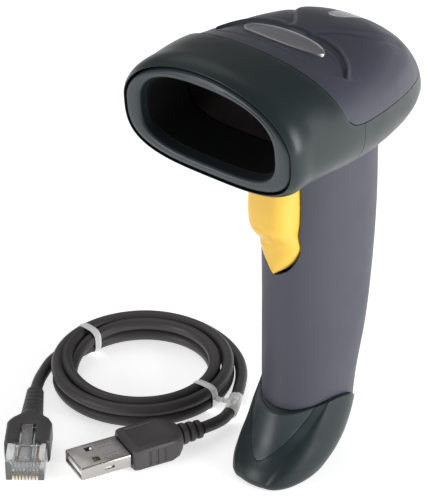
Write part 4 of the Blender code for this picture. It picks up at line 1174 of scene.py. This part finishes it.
def usb():
    """Rectangular plug: folded metal shell with its seam and windows, tongue, contacts, grip and relief."""
    place = CABLE @ moved(*USB_TIP, PLUG_Z) @ Matrix.Rotation(USB_TURN, 4, "Z")
    shell = block("shell_tube", (0.0, -6.0, -2.25), (16.9, 6.0, 2.25), 0.55, 3)
    cut(shell, block("shell_inside", (-1.0, -5.68, -1.93), (15.8, 5.68, 1.93), 0.3, 2))
    for side in (-1, 1):
        cut(shell, block("window", (5.2, side * 2.9 - 1.15, 0.0), (7.5, side * 2.9 + 1.15, 5.0)))
        cut(shell, block("spring_slit", (8.6, side * 2.9 - 0.9, 2.05), (13.6, side * 2.9 - 0.7, 5.0)))
        cut(shell, block("spring_slit", (8.6, side * 2.9 + 0.7, 2.05), (13.6, side * 2.9 + 0.9, 5.0)))
        cut(shell, block("side_slit", (8.0, side * 6.0 - 0.4, -0.5), (11.0, side * 6.0 + 0.4, 0.5)))
    cut(shell, block("seam", (-1.0, -0.05, -3.0), (16.0, 0.05, -2.1)))
    soften(shell, 0.06, 1, 50.0)
    shell.data.transform(place)
    pieces = [show(shell, "steel", ["usb_shell"])]
    tongue = block("tongue_board", (0.8, -5.3, -1.6), (15.2, 5.3, -0.1), 0.12, 2, place)
    pieces.append(show(tongue, "white_paper", ["usb_tongue"]))
    strips = []
    for y in (-3.5, -1.05, 1.05, 3.5):
        start = 1.4 if abs(y) > 2 else 2.4
        strips.append(block("strip", (start, y - 0.5, -0.12), (12.0, y + 0.5, 0.1), 0.05, 1, place))
    strips = joined("usb_strips", strips, [FINISH["gold_contacts"]] * 4)
    pieces.append(show(strips, "gold_contacts", ["usb_contacts"]))
    grip = usb_grip()
    grip.data.transform(place)
    pieces.append(show(grip, "cable_jacket", ["usb_overmold"]))
    relief_end = turned("usb_relief", ribs(34.8, USB_LENGTH - 0.4, 3.6, 2.9, 3, 1.0), 40, place)
    pieces.append(show(relief_end, "cable_jacket", ["usb_strain_relief"]))
    return pieces


def usb_grip():
    """Moulded grip: a rounded block, drawn in behind, with a shallow panel and three finger ridges a side."""
    grip = rounded("usb_grip", GRIP, 64)
    cut(grip, block("panel", (19.4, -5.2, 3.65), (31.0, 5.2, 6.0), 0.3, 2))
    for side in (-1, 1):
        for x in (21.5, 24.0, 26.5):
            low, high = (x, side * 7.5 - 0.35, -2.4), (x + 1.1, side * 7.5 + 0.35, 2.4)
            cut(grip, block("finger_groove", low, high, 0.15, 1))
    return soften(grip, 0.22, 2, 45.0)


# ---------------------------------------------------------------- scene

def floor():
    """A plain pale floor."""
    bpy.ops.mesh.primitive_plane_add(size=12.0)
    plane = bpy.context.object
    plane.name = "floor"
    made, _, _, shader = new_material("floor_pale")
    shader.inputs["Base Color"].default_value = (0.93, 0.93, 0.93, 1.0)
    shader.inputs["Roughness"].default_value = 0.8
    shader.inputs["Emission Color"].default_value = (1.0, 1.0, 1.0, 1.0)
    shader.inputs["Emission Strength"].default_value = 0.62
    plane.data.materials.append(made)


LAMP_TARGET = (0.0, 0.0, 0.08)
LAMPS = (     # name, place, size, power
    ("side", (1.3, 0.35, 0.35), (0.7, 0.9), 19.0),
    ("front", (-0.6, -1.3, 0.35), (0.5, 0.6), 7.0),
    ("top", (-0.9, 0.3, 1.3), (1.2, 1.2), 3.5),
)


def lamp(name, place, size, energy):
    """A soft rectangular lamp aimed at the object."""
    data = bpy.data.lights.new(name, "AREA")
    data.shape = "RECTANGLE"
    data.size, data.size_y = size
    data.energy = energy
    obj = bpy.data.objects.new(name, data)
    obj.location = place
    obj.rotation_euler = (Vector(place) - Vector(LAMP_TARGET)).to_track_quat("Z", "Y").to_euler()
    bpy.context.scene.collection.objects.link(obj)


def studio():
    """Soft lamps, a pale surround and the Standard view transform."""
    world = bpy.data.worlds.new("surround")
    bpy.context.scene.world = world
    world.use_nodes = True
    world.node_tree.nodes["Background"].inputs["Color"].default_value = (1.0, 1.0, 1.0, 1.0)
    world.node_tree.nodes["Background"].inputs["Strength"].default_value = 0.24
    for row in LAMPS:
        lamp(*row)
    bpy.context.scene.view_settings.view_transform = "Standard"


CAMERA_PLACE = (0.61564, -0.77106, 0.67969)
CAMERA_TURNED = (58.356, 0.762, 39.609)
CAMERA_LENS = 283.1


def camera():
    """The camera: far away, above the scanner's front and to its left, with a long lens."""
    data = bpy.data.cameras.new("camera")
    data.sensor_width = 36.0
    data.lens = CAMERA_LENS
    obj = bpy.data.objects.new("camera", data)
    obj.location = CAMERA_PLACE
    obj.rotation_euler = [math.radians(angle) for angle in CAMERA_TURNED]
    bpy.context.scene.collection.objects.link(obj)
    bpy.context.scene.camera = obj


finish_inner_nodes()
camera()
studio()
floor()
head()
badge()
bezel()
hood()
handle()
foot()
trigger()
on_cable = [label()]
on_cable += tie("tie_back", "cable_tie_back", 174.0, False)
on_cable += tie("tie_front", "cable_tie_front", 1.0, True)
on_cable += modular()
on_cable += usb()
cable()
